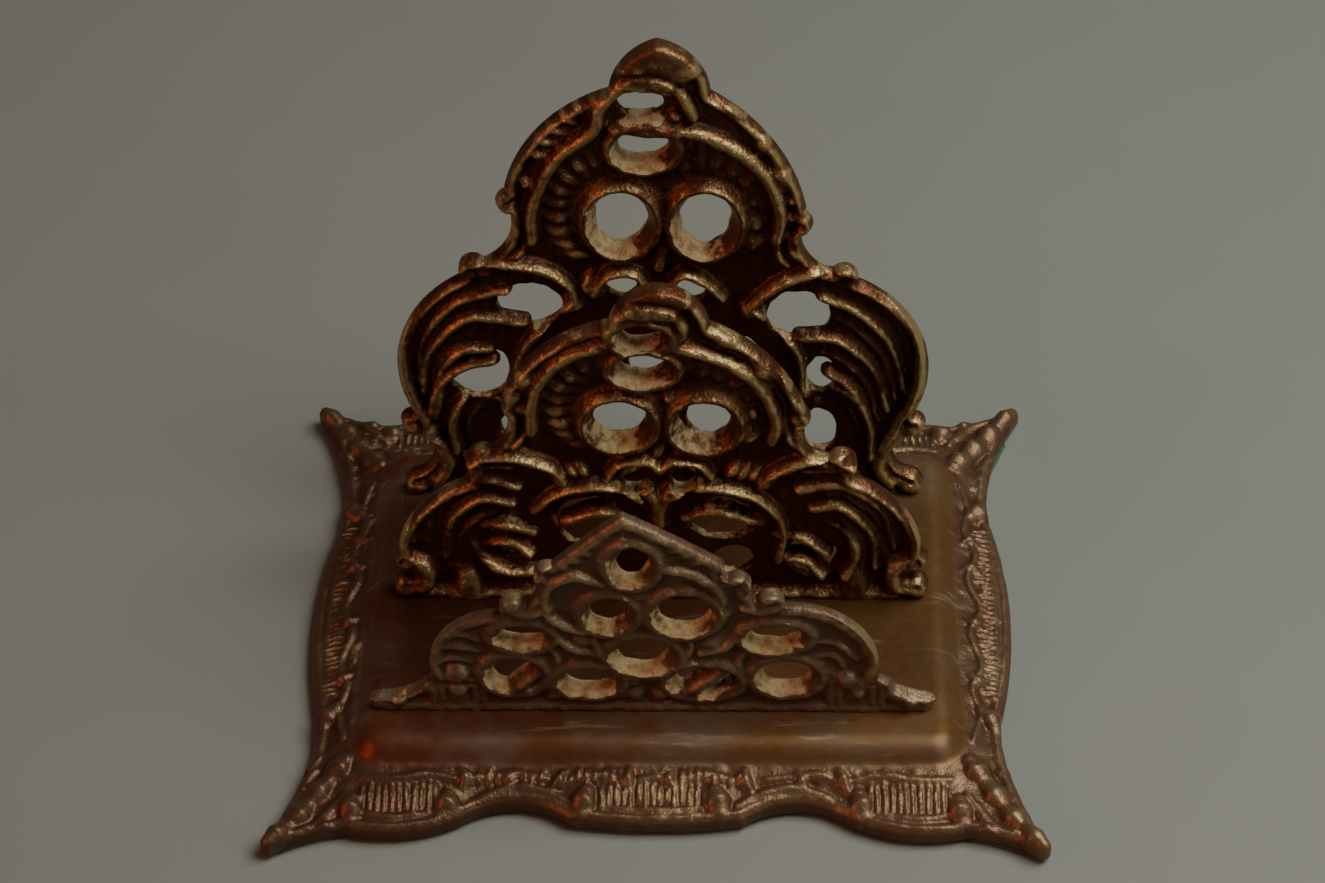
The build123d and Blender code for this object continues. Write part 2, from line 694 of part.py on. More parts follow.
os.makedirs("parts", exist_ok=True)
for name, piece in pieces.items():
    piece.part.label = name
    export_step(piece.part, f"parts/{name}.step")
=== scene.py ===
"""Letter rack of cast brass: a cornered base on felt pads, and three pierced panels behind each other."""

import math

import bpy
import numpy as np
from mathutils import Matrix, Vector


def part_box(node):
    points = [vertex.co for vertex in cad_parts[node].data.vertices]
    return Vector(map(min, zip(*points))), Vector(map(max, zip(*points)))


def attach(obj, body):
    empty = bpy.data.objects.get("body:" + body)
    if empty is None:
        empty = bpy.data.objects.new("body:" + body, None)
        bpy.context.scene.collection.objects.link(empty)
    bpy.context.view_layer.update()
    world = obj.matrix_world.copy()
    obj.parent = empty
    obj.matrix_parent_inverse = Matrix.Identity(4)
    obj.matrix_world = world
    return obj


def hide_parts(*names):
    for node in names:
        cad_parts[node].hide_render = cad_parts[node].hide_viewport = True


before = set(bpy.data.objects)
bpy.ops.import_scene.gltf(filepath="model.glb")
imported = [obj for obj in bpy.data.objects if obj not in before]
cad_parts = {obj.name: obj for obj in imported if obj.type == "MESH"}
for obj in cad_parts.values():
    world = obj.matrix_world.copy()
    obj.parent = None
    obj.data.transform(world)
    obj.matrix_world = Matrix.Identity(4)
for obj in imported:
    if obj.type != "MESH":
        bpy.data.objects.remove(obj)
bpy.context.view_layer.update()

import openvdb
from mathutils import Matrix, Vector, kdtree

mm = 0.001

# Places are shares of one pattern square: across from the middle, then up a panel or back over the base
pattern = 100 * mm

# Modelling: the grids, the outlines taken from the solids, and values beyond any casting
modelling_step = 0.42 * mm
base_step = 0.43 * mm
felt_step = 0.4 * mm
margin = 2.0 * mm
line_pieces = 8
outline_sample = 0.12 * mm
flat_tolerance = 0.004 * mm
join_digits = 7
far_below = -1.0
far_outside = 1.0
panel_face_limit = 130000
base_face_limit = 150000
felt_face_limit = 30000

# Cast surface: softness, the moat beside raised lines, and how steep or square swellings and beads are
face_softness = 0.3 * mm
hole_roundness = 0.5 * mm
moat_depth = 1.1 * mm
moat_width = 1.2 * mm
swell_steepness = 2.4
bead_squareness = 0.6

# Ripples: how deep and how wide
hole_ripple = (0.22 * mm, 1.1 * mm)
panel_ripple = (0.09 * mm, 0.6 * mm)
border_ripple = (0.08 * mm, 1.0 * mm)
plateau_ripple = (0.05 * mm, 6 * mm)
rim_ripple = (0.06 * mm, 1.8 * mm)
felt_edge_ripple = (0.12 * mm, 0.5 * mm)
felt_top_ripple = (0.05 * mm, 0.7 * mm)

# Seeds of the base's ripples and of the first pad's
border_seed = 31
plateau_seed = 32
rim_seed = 33
felt_seed = 41

# Panels: the plain web, lips as inset, spread and rise, and how holes widen at the face and narrow behind
full_depth = 6.6 * mm
front_depth = 4.4 * mm
web = 2.7 * mm
front_ground = 2.5 * mm
outer_lip = (1.4 * mm, 1.1 * mm, 2.4 * mm)
collar = (1.5 * mm, 1.6 * mm, 3.6 * mm)
collar_reach = 4 * mm
wall_flare = (0.2 * mm, 0.9 * mm)
collar_flare = (0.6 * mm, 1.7 * mm)
bar_inset = 0.6 * mm
bar_fade = 1 * mm
rail_top = 15.4 * mm
rail_rise = 2.6 * mm
rail_fade = 1 * mm

# Lugs at the foot of a panel, and the bosses on its face over the screws
lug_half = 5.2 * mm
lug_cover = 0.7 * mm
lug_top = 9.2 * mm
screw_shank = 1.5 * mm
screw_offset = 46 * mm
boss_above_screw = 5 * mm
boss_steepness = 1.3
boss_squareness = 0.6

# Wear, residue and painted light on the panels; a span runs from where there is none to where there is most
crest_width = 1.6 * mm
crest_rise = 2.0 * mm
collar_dulling = 0.6
collar_dull_width = 2.4 * mm
raised_start = -0.2 * mm
raised_height = 1.6 * mm
ground_wear = 0.25
back_wear = 0.45
back_facing = 0.6
inland_span = (-0.8 * mm, -1.8 * mm)
sunk_span = (0.24 * mm, 1.44 * mm)
opening_span = (-2.2 * mm, -1.2 * mm)
# Painted light: walls that face up and to the right, towards the top lamp, are paler
slope_span = (0, 0.625)
slope_lean = 0.8
sunk_residue = 0.8
plain_residue = 0.45
bar_cleanness = 0.8

# Profiles of the ornament: widths and rises at the start, middle and end, then how square the crown is
stations = (0, 0.5, 1)
profiles = {
    "arch_roll": ((3.4 * mm, 4.6 * mm, 3.4 * mm), (3.0 * mm, 3.7 * mm, 2.8 * mm), 0.6),
    "scroll_roll": ((3.4 * mm, 4.6 * mm, 3.4 * mm), (3.0 * mm, 3.8 * mm, 2.9 * mm), 0.6),
    "ribbon": ((2.4 * mm, 3.0 * mm, 2.2 * mm), (3.4 * mm, 4.2 * mm, 3.2 * mm), 0.65),
    "stem_roll": ((4.6 * mm, 4.2 * mm, 3.2 * mm), (3.0 * mm, 3.0 * mm, 2.2 * mm), 0.6),
    "feather": ((1.6 * mm, 2.6 * mm, 1.8 * mm), (1.4 * mm, 2.8 * mm, 1.8 * mm), 1.0),
    "finger": ((2.4 * mm, 4.0 * mm, 3.6 * mm), (2.0 * mm, 4.0 * mm, 3.6 * mm), 0.9),
    "leaf": ((2.6 * mm, 5.8 * mm, 2.0 * mm), (1.2 * mm, 3.1 * mm, 1.1 * mm), 0.7),
    "rib": ((1.8 * mm, 3.0 * mm, 2.2 * mm), (1.2 * mm, 2.6 * mm, 1.4 * mm), 0.7),
    "gadroon": ((2.2 * mm, 4.6 * mm, 3.2 * mm), (0.6 * mm, 2.2 * mm, 1.4 * mm), 0.8),
}

# Rear panel
rear_line_shares = {
    "arch_roll": (
        ((-.295, .93), (-.29, 1.03), (-.235, 1.165), (-.145, 1.25), (-.125, 1.32), (-.075, 1.375),
         (.0, 1.385), (.06, 1.345), (.085, 1.29)),
        ((-.10, 1.255), (.0, 1.255), (.10, 1.24), (.19, 1.19), (.255, 1.11), (.285, 1.01), (.275, .93)),
    ),
    "ribbon": (
        ((-.20, .75), (-.275, .675), (-.335, .58), (-.36, .47)),
        ((.215, .73), (.285, .66), (.33, .57), (.34, .47)),
        ((-.155, .77), (-.12, .83), (-.06, .835), (-.03, .79)),
        ((.03, .80), (.06, .835), (.11, .805), (.15, .755)),
        ((-.455, .855), (-.55, .77), (-.61, .66), (-.62, .54), (-.60, .44), (-.575, .36)),
        ((.46, .83), (.55, .745), (.605, .65), (.62, .55), (.605, .45), (.57, .36), (.52, .26)),
        ((-.46, .86), (-.38, .865), (-.28, .85), (-.215, .80), (-.20, .74)),
        ((.45, .84), (.36, .835), (.28, .80), (.225, .745), (.21, .71)),
        ((-.505, .27), (-.51, .37), (-.46, .465), (-.38, .48), (-.345, .455)),
        ((.505, .25), (.50, .36), (.45, .455), (.38, .475), (.34, .455)),
    ),
    "scroll_roll": (
        ((-.60, .33), (-.55, .30), (-.53, .23), (-.57, .16), (-.625, .155)),
        ((.60, .32), (.55, .29), (.53, .22), (.57, .16), (.625, .155)),
    ),
    "stem_roll": (
        ((.015, .95), (.01, .90), (.0, .845)),
        ((.03, 1.03), (.065, 1.0), (.05, .945), (.025, .90)),
        ((.0, .20), (.02, .38), (.0, .60)),
    ),
    "finger": (
        ((-.085, 1.362), (-.03, 1.375), (.03, 1.355)),
        ((-.10, 1.25), (-.03, 1.252), (.05, 1.245)),
        ((-.56, .42), (-.53, .52), (-.48, .585), (-.41, .59)),
        ((-.585, .50), (-.565, .63), (-.485, .735), (-.365, .775)),
        ((-.58, .45), (-.555, .58), (-.46, .685), (-.325, .672)),
        ((-.57, .37), (-.545, .46), (-.485, .53), (-.405, .55)),
        ((.585, .46), (.545, .61), (.47, .705), (.385, .75)),
        ((.545, .40), (.50, .54), (.42, .62), (.33, .625)),
        ((.51, .33), (.465, .455), (.40, .515)),
    ),
    "feather": (
        ((-.60, .55), (-.575, .69), (-.50, .79), (-.40, .825)),
        ((-.555, .36), (-.535, .45), (-.515, .50)),
        ((-.47, .27), (-.475, .355), (-.43, .42), (-.37, .425)),
        ((.60, .52), (.565, .66), (.495, .745), (.42, .785)),
        ((.565, .43), (.525, .57), (.445, .665), (.365, .70)),
        ((.525, .36), (.48, .495), (.405, .57), (.335, .575)),
        ((.475, .26), (.475, .35), (.435, .415), (.37, .425)),
        ((.34, .94), (.36, .895), (.42, .865)),
        ((.30, .94), (.315, .89), (.35, .86)),
        ((.275, .92), (.285, .875), (.305, .85)),
        ((-.34, 1.0), (-.345, .945), (-.38, .91), (-.43, .89)),
        ((-.305, .92), (-.33, .885), (-.38, .87)),
    ),
    "leaf": (
        ((.14, 1.335), (.18, 1.31), (.215, 1.265)),
        ((.225, 1.25), (.245, 1.215), (.262, 1.17)),
        ((.27, 1.165), (.285, 1.12), (.295, 1.07)),
        ((-.155, 1.35), (-.135, 1.33), (-.125, 1.30)),
        ((-.60, .36), (-.57, .33), (-.53, .27)),
        ((.60, .35), (.57, .32), (.53, .26)),
        ((-.42, .30), (-.37, .33), (-.36, .38)),
        ((.34, .27), (.38, .29), (.42, .26)),
        ((-.14, .76), (-.165, .79), (-.155, .83)),
        ((-.36, .21), (-.22, .17), (-.07, .20)),
        ((.36, .21), (.22, .17), (.07, .20)),
    ),
    "rib": (
        ((-.225, 1.30), (-.18, 1.265)),
        ((-.25, 1.265), (-.205, 1.235)),
        ((-.275, 1.23), (-.23, 1.205)),
        ((-.295, 1.19), (-.25, 1.17)),
        ((-.315, 1.11), (-.29, 1.08)),
        ((-.20, 1.33), (-.155, 1.295)),
        ((.30, 1.05), (.32, 1.04)),
        ((.295, 1.0), (.32, .99)),
    ),
    "gadroon": (
        ((-.255, 1.085), (-.19, 1.05)),
        ((-.265, 1.04), (-.19, 1.02)),
        ((-.265, .995), (-.19, .985)),
        ((-.265, .955), (-.185, .945)),
        ((-.25, .92), (-.175, .91)),
        ((-.225, .89), (-.16, .885)),
        ((-.235, 1.13), (-.175, 1.075)),
        ((-.20, 1.17), (-.15, 1.095)),
        ((-.16, 1.19), (-.12, 1.11)),
        ((.06, 1.17), (.06, 1.10)),
        ((.095, 1.20), (.095, 1.11)),
        ((.135, 1.19), (.13, 1.10)),
        ((.175, 1.16), (.165, 1.085)),
        ((.215, 1.12), (.185, 1.06)),
        ((.25, .93), (.19, .905)),
    ),
}
rear_bead_shares = (
    ((.045, 1.285), .020), ((.05, 1.185), .021), ((.03, 1.03), .019), ((.015, .97), .023),
    ((.22, .975), .026), ((.215, 1.035), .021), ((-.37, 1.065), .028), ((-.345, 1.02), .020),
    ((.34, 1.0), .026), ((.335, .955), .020), ((-.455, .885), .034), ((-.415, .892), .022),
    ((.455, .862), .030), ((-.205, .735), .027), ((.215, .715), .027), ((-.608, .345), .030),
    ((.608, .335), .030), ((-.62, .155), .026), ((.62, .155), .026), ((-.35, .46), .024),
    ((.35, .455), .024),
)

# Rises and hollows of the ground: the place, the half sizes and the rise
rear_ground_shares = (
    ((.01, 1.46), (.135, .095), .034), ((.0, 1.03), (.27, .19), -.012), ((-.45, .62), (.17, .22), -.017),
    ((.45, .60), (.17, .22), -.017), ((-.43, .33), (.09, .12), -.014), ((.43, .33), (.09, .12), -.014),
    ((.0, .42), (.27, .22), -.012), ((.0, 1.34), (.06, .05), -.012),
)

# Openings cut wider: a line and its width
rear_cut_shares = (
    (((-.045, 1.192), (-.015, 1.192)), .055),
)

# Middle panel
middle_line_shares = {
    "arch_roll": (
        ((-.29, .66), (-.285, .75), (-.255, .83), (-.19, .895), (-.11, .93), (-.10, .98), (-.05, 1.02),
         (.03, 1.015), (.065, .97), (.05, .935)),
        ((-.06, .925), (.03, .92), (.12, .89), (.20, .84), (.25, .77), (.275, .69), (.265, .63)),
    ),
    "ribbon": (
        ((-.295, .40), (-.245, .46), (-.16, .493), (-.09, .485), (-.04, .445)),
        ((.03, .455), (.09, .488), (.19, .475), (.265, .415), (.295, .33), (.28, .25)),
        ((-.115, .525), (-.085, .565), (-.02, .572), (.005, .55), (.035, .572), (.095, .562), (.125, .52)),
        ((.235, .94), (.285, .86), (.305, .79)),
        ((-.41, .575), (-.50, .51), (-.575, .42), (-.61, .32), (-.595, .24)),
        ((.42, .57), (.50, .515), (.57, .43), (.61, .33), (.595, .24)),
        ((-.41, .58), (-.33, .583), (-.25, .55), (-.22, .50)),
        ((.42, .578), (.34, .57), (.27, .535), (.24, .495)),
    ),
    "scroll_roll": (
        ((-.59, .25), (-.555, .22), (-.565, .165), (-.62, .15)),
        ((.59, .25), (.555, .22), (.565, .165), (.62, .15)),
    ),
    "stem_roll": (
        ((.015, .68), (.01, .63), (.0, .59)),
        ((.03, .755), (.065, .725), (.05, .67), (.025, .63)),
        ((-.075, .52), (-.035, .48), (-.005, .43), (.0, .36)),
        ((.065, .50), (.02, .455), (.0, .40)),
    ),
    "finger": (
        ((-.55, .30), (-.525, .43), (-.43, .505), (-.33, .48)),
        ((-.51, .25), (-.49, .37), (-.42, .44), (-.345, .425)),
        ((-.45, .32), (-.425, .255), (-.37, .22), (-.30, .215)),
        ((.555, .28), (.52, .41), (.43, .485), (.33, .47)),
        ((.51, .22), (.50, .33), (.43, .415), (.36, .41)),
        ((.38, .375), (.445, .33), (.465, .26), (.44, .20)),
        ((-.43, .345), (-.37, .358), (-.30, .335)),
        ((-.42, .285), (-.36, .302), (-.31, .272)),
        ((.06, .375), (.14, .402), (.22, .37)),
        ((-.06, .375), (-.14, .402), (-.22, .37)),
        ((.27, .325), (.34, .315), (.395, .265)),
        ((.29, .255), (.345, .25), (.385, .205)),
    ),
    "feather": (
        ((-.585, .30), (-.555, .43), (-.46, .535), (-.34, .545)),
        ((-.53, .27), (-.51, .40), (-.43, .475), (-.35, .455)),
        ((-.48, .22), (-.465, .32), (-.41, .385), (-.36, .375)),
        ((.585, .30), (.55, .43), (.46, .53), (.33, .535)),
        ((.535, .25), (.51, .37), (.43, .45), (.35, .44)),
        ((.48, .20), (.475, .30), (.425, .37), (.37, .375)),
        ((.325, .68), (.345, .63), (.40, .60)),
        ((.295, .69), (.305, .635), (.335, .60)),
        ((-.33, .72), (-.345, .665), (-.39, .625)),
        ((-.30, .66), (-.325, .62), (-.365, .60)),
    ),
    "leaf": (
        ((-.225, .925), (-.185, .955), (-.13, .975)),
        ((.10, .965), (.16, .94), (.20, .90)),
        ((.215, .885), (.245, .845), (.265, .795)),
        ((-.285, .85), (-.30, .815), (-.305, .77)),
        ((-.42, .30), (-.37, .33), (-.36, .38)),
        ((.20, .40), (.235, .37), (.245, .32)),
        ((-.20, .40), (-.235, .37), (-.245, .32)),
        ((-.60, .26), (-.57, .23), (-.54, .19)),
        ((.60, .26), (.57, .23), (.54, .19)),
    ),
    "rib": (
        ((.16, .515), (.185, .55)),
        ((.185, .505), (.21, .545)),
        ((.21, .505), (.235, .535)),
        ((-.16, .515), (-.185, .55)),
        ((-.185, .51), (-.21, .545)),
        ((-.21, .51), (-.235, .54)),
        ((.10, .40), (.125, .445)),
        ((.135, .395), (.16, .44)),
        ((.17, .385), (.20, .425)),
        ((-.10, .40), (-.125, .445)),
        ((-.135, .395), (-.16, .44)),
    ),
    "gadroon": (
        ((-.255, .80), (-.185, .765)),
        ((-.265, .76), (-.19, .74)),
        ((-.265, .72), (-.19, .71)),
        ((-.26, .68), (-.18, .675)),
        ((-.24, .65), (-.17, .645)),
        ((-.21, .62), (-.15, .615)),
        ((-.225, .84), (-.165, .79)),
        ((-.185, .875), (-.135, .805)),
        ((-.145, .89), (-.105, .82)),
        ((.07, .88), (.065, .82)),
        ((.11, .865), (.10, .80)),
        ((.15, .85), (.14, .79)),
        ((.19, .82), (.17, .77)),
        ((.24, .65), (.185, .63)),
    ),
}
middle_bead_shares = (
    ((.05, .93), .019), ((.055, .875), .019), ((.03, .755), .018), ((.015, .70), .022),
    ((.205, .755), .021), ((.215, .71), .024), ((.205, .665), .021), ((-.33, .765), .026),
    ((-.31, .725), .020), ((.33, .73), .026), ((.32, .69), .020), ((-.415, .615), .032),
    ((-.38, .63), .022), ((.42, .59), .030), ((-.225, .505), .024), ((.245, .50), .024),
    ((.185, .335), .030), ((-.185, .335), .028), ((-.595, .235), .027), ((.595, .235), .027),
    ((-.62, .155), .025), ((.62, .155), .025),
)
middle_ground_shares = (
    ((.005, 1.06), (.10, .055), .030), ((.0, .75), (.26, .16), -.012), ((-.43, .38), (.17, .17), -.017),
    ((.43, .37), (.17, .17), -.017), ((-.17, .38), (.12, .11), -.014), ((.17, .36), (.12, .12), -.014),
    ((.0, .965), (.055, .045), -.012),
)

# Front panel
front_line_shares = {
    "finger": (
        ((-.35, .17), (-.315, .205), (-.27, .255)),
        ((.045, .17), (.095, .205), (.15, .255)),
    ),
    "ribbon": (
        ((-.25, .48), (-.235, .53), (-.18, .56), (-.13, .54), (-.10, .515)),
        ((.0, .582), (.07, .572), (.13, .535), (.155, .485), (.14, .44)),
        ((-.035, .495), (.02, .50), (.04, .465), (.0, .43), (-.03, .40)),
        ((-.25, .48), (-.24, .43), (-.19, .395), (-.12, .38)),
        ((.14, .44), (.13, .395), (.07, .375), (.0, .38)),
        ((-.14, .36), (-.12, .30), (-.05, .255), (.03, .26), (.075, .32), (.08, .36)),
        ((-.24, .40), (-.20, .34), (-.14, .315)),
        ((.20, .40), (.16, .34), (.10, .315)),
        ((-.33, .465), (-.42, .435), (-.485, .375), (-.51, .30), (-.50, .235)),
        ((.28, .49), (.37, .47), (.45, .41), (.495, .33), (.495, .26), (.46, .20)),
        ((-.24, .455), (-.29, .44), (-.34, .455)),
        ((.20, .46), (.25, .455), (.30, .475)),
        ((-.505, .355), (-.455, .375), (-.40, .35)),
        ((-.51, .315), (-.465, .335), (-.405, .315)),
        ((-.51, .275), (-.475, .295), (-.415, .28)),
        ((.355, .355), (.415, .345), (.46, .295)),
        ((.365, .31), (.41, .305), (.435, .255)),
        ((.38, .265), (.405, .25), (.40, .215)),
    ),
    "feather": (
        ((-.26, .36), (-.225, .30), (-.24, .25)),
        ((.22, .34), (.19, .285), (.21, .24)),
        ((-.26, .32), (-.30, .29), (-.36, .29)),
        ((.22, .30), (.26, .285), (.34, .29)),
        ((-.23, .22), (-.20, .19), (-.14, .175), (-.07, .175)),
        ((.02, .175), (.10, .18), (.16, .20), (.205, .24)),
    ),
    "leaf": (
        ((-.50, .24), (-.545, .225), (-.585, .18)),
        ((-.52, .20), (-.58, .185), (-.655, .15)),
        ((.50, .24), (.535, .225), (.57, .18)),
        ((.51, .20), (.56, .175), (.63, .148)),
        ((-.26, .21), (-.235, .185), (-.25, .16)),
        ((.18, .20), (.16, .18), (.17, .155)),
        ((-.04, .21), (-.05, .185), (-.04, .16)),
        ((.0, .21), (.01, .185), (.0, .16)),
        ((-.20, .33), (-.17, .355), (-.17, .38)),
        ((.10, .33), (.13, .35), (.16, .375)),
    ),
    "rib": (
        ((-.215, .595), (-.195, .58)),
        ((-.19, .62), (-.17, .60)),
        ((-.165, .645), (-.145, .625)),
        ((-.14, .668), (-.12, .648)),
        ((-.115, .69), (-.095, .668)),
        ((-.085, .715), (-.075, .69)),
        ((-.045, .72), (-.055, .695)),
        ((-.01, .70), (-.025, .675)),
        ((.02, .68), (.005, .655)),
        ((.05, .66), (.035, .635)),
        ((.08, .64), (.065, .615)),
        ((.105, .62), (.09, .595)),
        ((-.06, .595), (-.03, .592)),
    ),
}
front_bead_shares = (
    ((-.25, .598), .024), ((-.262, .555), .020), ((-.27, .525), .018), ((-.325, .475), .026),
    ((.18, .57), .034), ((.255, .50), .026), ((.215, .53), .018), ((-.035, .495), .018),
    ((-.46, .25), .034), ((-.46, .20), .024), ((.435, .235), .030), ((.465, .19), .020),
    ((-.60, .165), .022), ((.585, .165), .022), ((-.29, .19), .018), ((-.05, .225), .016),
)
front_ground_shares = (
    ((-.06, .66), (.11, .05), -.004), ((-.06, .46), (.19, .09), -.006), ((-.40, .31), (.12, .12), -.010),
    ((.38, .31), (.12, .12), -.010),
)

front_cut_shares = (
    (((-.70, .195), (-.62, .193), (-.565, .215)), .06),
    (((.68, .193), (.62, .193), (.565, .215)), .06),
)

# Base: the plateau, the border that falls from its foot to the rim, and the hollow underside
plateau_half = (70.5 * mm, 52.5 * mm)
plateau_corner = 7 * mm
plateau_top = 13 * mm
plateau_foot = 8.9 * mm
plateau_roll = 6.5 * mm
roll_end = 1.6
roll_curve = 2.6
foot_blend = 0.8 * mm
plateau_inside = 1.5 * plateau_roll
least_border = 0.1 * mm
border_sag = 0.9
rim_top = 3.7 * mm
rim_lip = (1.5 * mm, 1.1 * mm, 1.3 * mm)
edge_roundness = 0.6 * mm
base_wall = 3.2 * mm
least_wall = 1.8 * mm
land_half = (75.6 * mm, 57.1 * mm)
land_slope = 9 * mm
ceiling_softness = 0.8 * mm
screw_hole = 1.7 * mm

# Wear, residue and painted shade on the base
border_crest_width = 1.5 * mm
rib_full = 0.6 * mm
rib_cover = 0.2 * mm
rib_residue = 0.78
rib_crest_span = (0.2, 0.7)
rib_surround = 1.2 * mm
surround_steepness = 4
crest_shedding = 1.7
polish_span = (1.8 * mm, 0.3 * mm)
# Where the plateau between the panels gets painted shade: its middle, its half sizes and how sharply it
# starts
painted_shade_middle = (0, -1 * mm)
painted_shade_half = (72 * mm, 35 * mm)
painted_shade_steepness = 6

# Profiles of the border's ornament
base_profiles = {
    "lip": ((1.6 * mm, 2.4 * mm, 1.6 * mm), (0.7 * mm, 1.1 * mm, 0.7 * mm), 0.7),
    "scroll": ((2.0 * mm, 3.2 * mm, 2.0 * mm), (0.9 * mm, 1.6 * mm, 0.9 * mm), 0.7),
    "wave": ((1.8 * mm, 2.2 * mm, 1.8 * mm), (1.0 * mm, 1.2 * mm, 1.0 * mm), 0.8),
    "rib": ((1.1 * mm, 1.4 * mm, 1.2 * mm), (0.7 * mm, 1.4 * mm, 1.0 * mm), 0.8),
    "knob": ((4.6 * mm, 6.2 * mm, 4.4 * mm), (1.6 * mm, 3.2 * mm, 1.8 * mm), 0.55),
    "hook": ((1.8 * mm, 3.2 * mm, 1.8 * mm), (1.0 * mm, 2.2 * mm, 0.9 * mm), 0.6),
    "claw": ((4.4 * mm, 6.2 * mm, 4.6 * mm), (2.4 * mm, 3.4 * mm, 2.2 * mm), 0.55),
    "scale": ((4.4 * mm, 6.4 * mm, 4.8 * mm), (1.6 * mm, 2.8 * mm, 1.6 * mm), 0.55),
}

# Front border, repeated along the rear
front_border_shares = {
    "scroll": (
        ((-.435, -.635), (-.385, -.60), (-.31, -.583), (-.24, -.598), (-.19, -.628)),
        ((.435, -.635), (.385, -.60), (.31, -.583), (.24, -.598), (.185, -.628)),
    ),
    "lip": (
        ((-.685, -.652), (-.60, -.664), (-.50, -.648)),
        ((.685, -.652), (.60, -.664), (.50, -.648)),
        ((-.13, -.632), (.0, -.642), (.115, -.632)),
        ((-.68, -.563), (-.60, -.568), (-.52, -.556), (-.46, -.566)),
        ((.68, -.563), (.60, -.568), (.52, -.556), (.45, -.566)),
        ((-.42, -.562), (-.33, -.553), (-.25, -.562)),
        ((.41, -.562), (.37, -.553), (.25, -.562)),
        ((-.20, -.568), (-.13, -.558), (-.08, -.566)),
        ((-.04, -.568), (.0, -.562), (.02, -.568)),
        ((.05, -.566), (.12, -.556), (.185, -.566)),
    ),
    "knob": (
        ((-.705, -.668), (-.702, -.645), (-.70, -.622)),
        ((-.485, -.65), (-.478, -.63), (-.475, -.608)),
        ((-.175, -.645), (-.168, -.622), (-.16, -.60)),
        ((.15, -.645), (.143, -.622), (.135, -.60)),
        ((.475, -.65), (.468, -.63), (.465, -.608)),
        ((.70, -.668), (.697, -.645), (.695, -.622)),
    ),
    "hook": (
        ((-.45, -.545), (-.44, -.565), (-.445, -.59)),
        ((-.215, -.55), (-.225, -.57), (-.24, -.585)),
        ((-.06, -.545), (-.065, -.57), (-.06, -.59)),
        ((.035, -.55), (.03, -.57), (.04, -.585)),
        ((.205, -.545), (.205, -.57), (.22, -.59)),
        ((.325, -.55), (.335, -.568), (.34, -.58)),
        ((.42, -.545), (.43, -.565), (.44, -.59)),
        ((-.33, -.55), (-.34, -.565), (-.345, -.58)),
    ),
}
front_rib_rows_shares = (
    (-.125, .11, -.58, -.625),
    (-.675, -.505, -.58, -.645),
    (.49, .675, -.58, -.645),
)
front_tooth_rows_shares = (
    (-.425, -.265, -.545, -.575),
    (-.20, -.08, -.545, -.575),
    (.06, .19, -.545, -.575),
)
rib_spacing = 1.7 * mm
tooth_spacing = 1.9 * mm
rib_shift = 0.12 * mm
rib_lean = 0.2 * mm
rib_start_shift = 0.5 * mm
rib_end_shift = 0.4 * mm

# Right border, repeated on the left
side_border_shares = {
    "wave": (
        ((.735, -.44), (.755, -.35), (.74, -.27), (.765, -.19), (.742, -.09), (.77, .0), (.742, .09),
         (.765, .19), (.74, .27), (.755, .35), (.735, .44)),
    ),
    "lip": (
        ((.79, -.31), (.803, -.16), (.808, .0), (.803, .16), (.79, .31)),
    ),
    "knob": (
        ((.80, -.385), (.785, -.355), (.765, -.335)),
        ((.80, .385), (.785, .355), (.765, .335)),
    ),
    "hook": (
        ((.735, -.235), (.755, -.245), (.775, -.235)),
        ((.735, .225), (.755, .235), (.775, .225)),
        ((.735, -.05), (.755, -.055), (.775, -.045)),
        ((.735, .13), (.755, .135), (.775, .125)),
    ),
}
side_rib_row_shares = (-.285, .285, .765, .80)

# Claw at one corner, repeated on the others
corner_shares = {
    "claw": (
        ((.880, .735), (.865, .715), (.848, .692)),
    ),
    "scale": (
        ((.838, .68), (.822, .655), (.808, .63)),
        ((.80, .615), (.782, .59), (.766, .565)),
        ((.758, .552), (.742, .53), (.73, .51)),
    ),
    "wave": (
        ((.82, .712), (.775, .68), (.735, .625)),
        ((.862, .645), (.838, .58), (.79, .52)),
        ((.79, .70), (.755, .672), (.715, .60)),
        ((.85, .60), (.825, .53), (.785, .48)),
    ),
    "hook": (
        ((.775, .70), (.755, .69), (.735, .685)),
        ((.845, .55), (.835, .52), (.82, .50)),
    ),
}

# Rounding of the felt pads
felt_top_roundness = 0.5 * mm
felt_foot_roundness = 0.3 * mm


def soften(values, spread):
    """Blur a field of values by a spread given in cells, padded so that no edge wraps round."""
    rim = int(4 * spread) + 2
    padded = np.pad(values, rim, mode="edge")
    down = np.fft.fftfreq(padded.shape[0])[:, None]
    across = np.fft.rfftfreq(padded.shape[1])
    passed = np.exp(-2 * (np.pi * spread) ** 2 * (down ** 2 + across ** 2))
    return np.fft.irfft2(np.fft.rfft2(padded) * passed, padded.shape)[rim:-rim, rim:-rim]


def soft_max(first, second, blend):
    """The larger of two fields, with the corner between them rounded."""
    return np.maximum(first, second) + np.clip(blend - abs(first - second), 0, None) ** 2 / (4 * blend)


def fade(values, none, full):
    """0 at the value for none, 1 at the value for full, and even between them."""
    return np.clip((values - none) / (full - none), 0, 1)


def smooth_line(points):
    """A finely divided smooth line through a few points."""
    points = np.array(points, float)
    ends = np.vstack((2 * points[0] - points[1], points, 2 * points[-1] - points[-2]))
    steps = np.arange(line_pieces)[:, None] / line_pieces
    spans = []
    for before, start, end, after in zip(ends, ends[1:], ends[2:], ends[3:]):
        bend = 2 * before - 5 * start + 4 * end - after
        twist = 3 * start - before - 3 * end + after
        spans.append((2 * start + (end - before) * steps + bend * steps ** 2 + twist * steps ** 3) / 2)
    return np.vstack(spans + [points[-1:]])


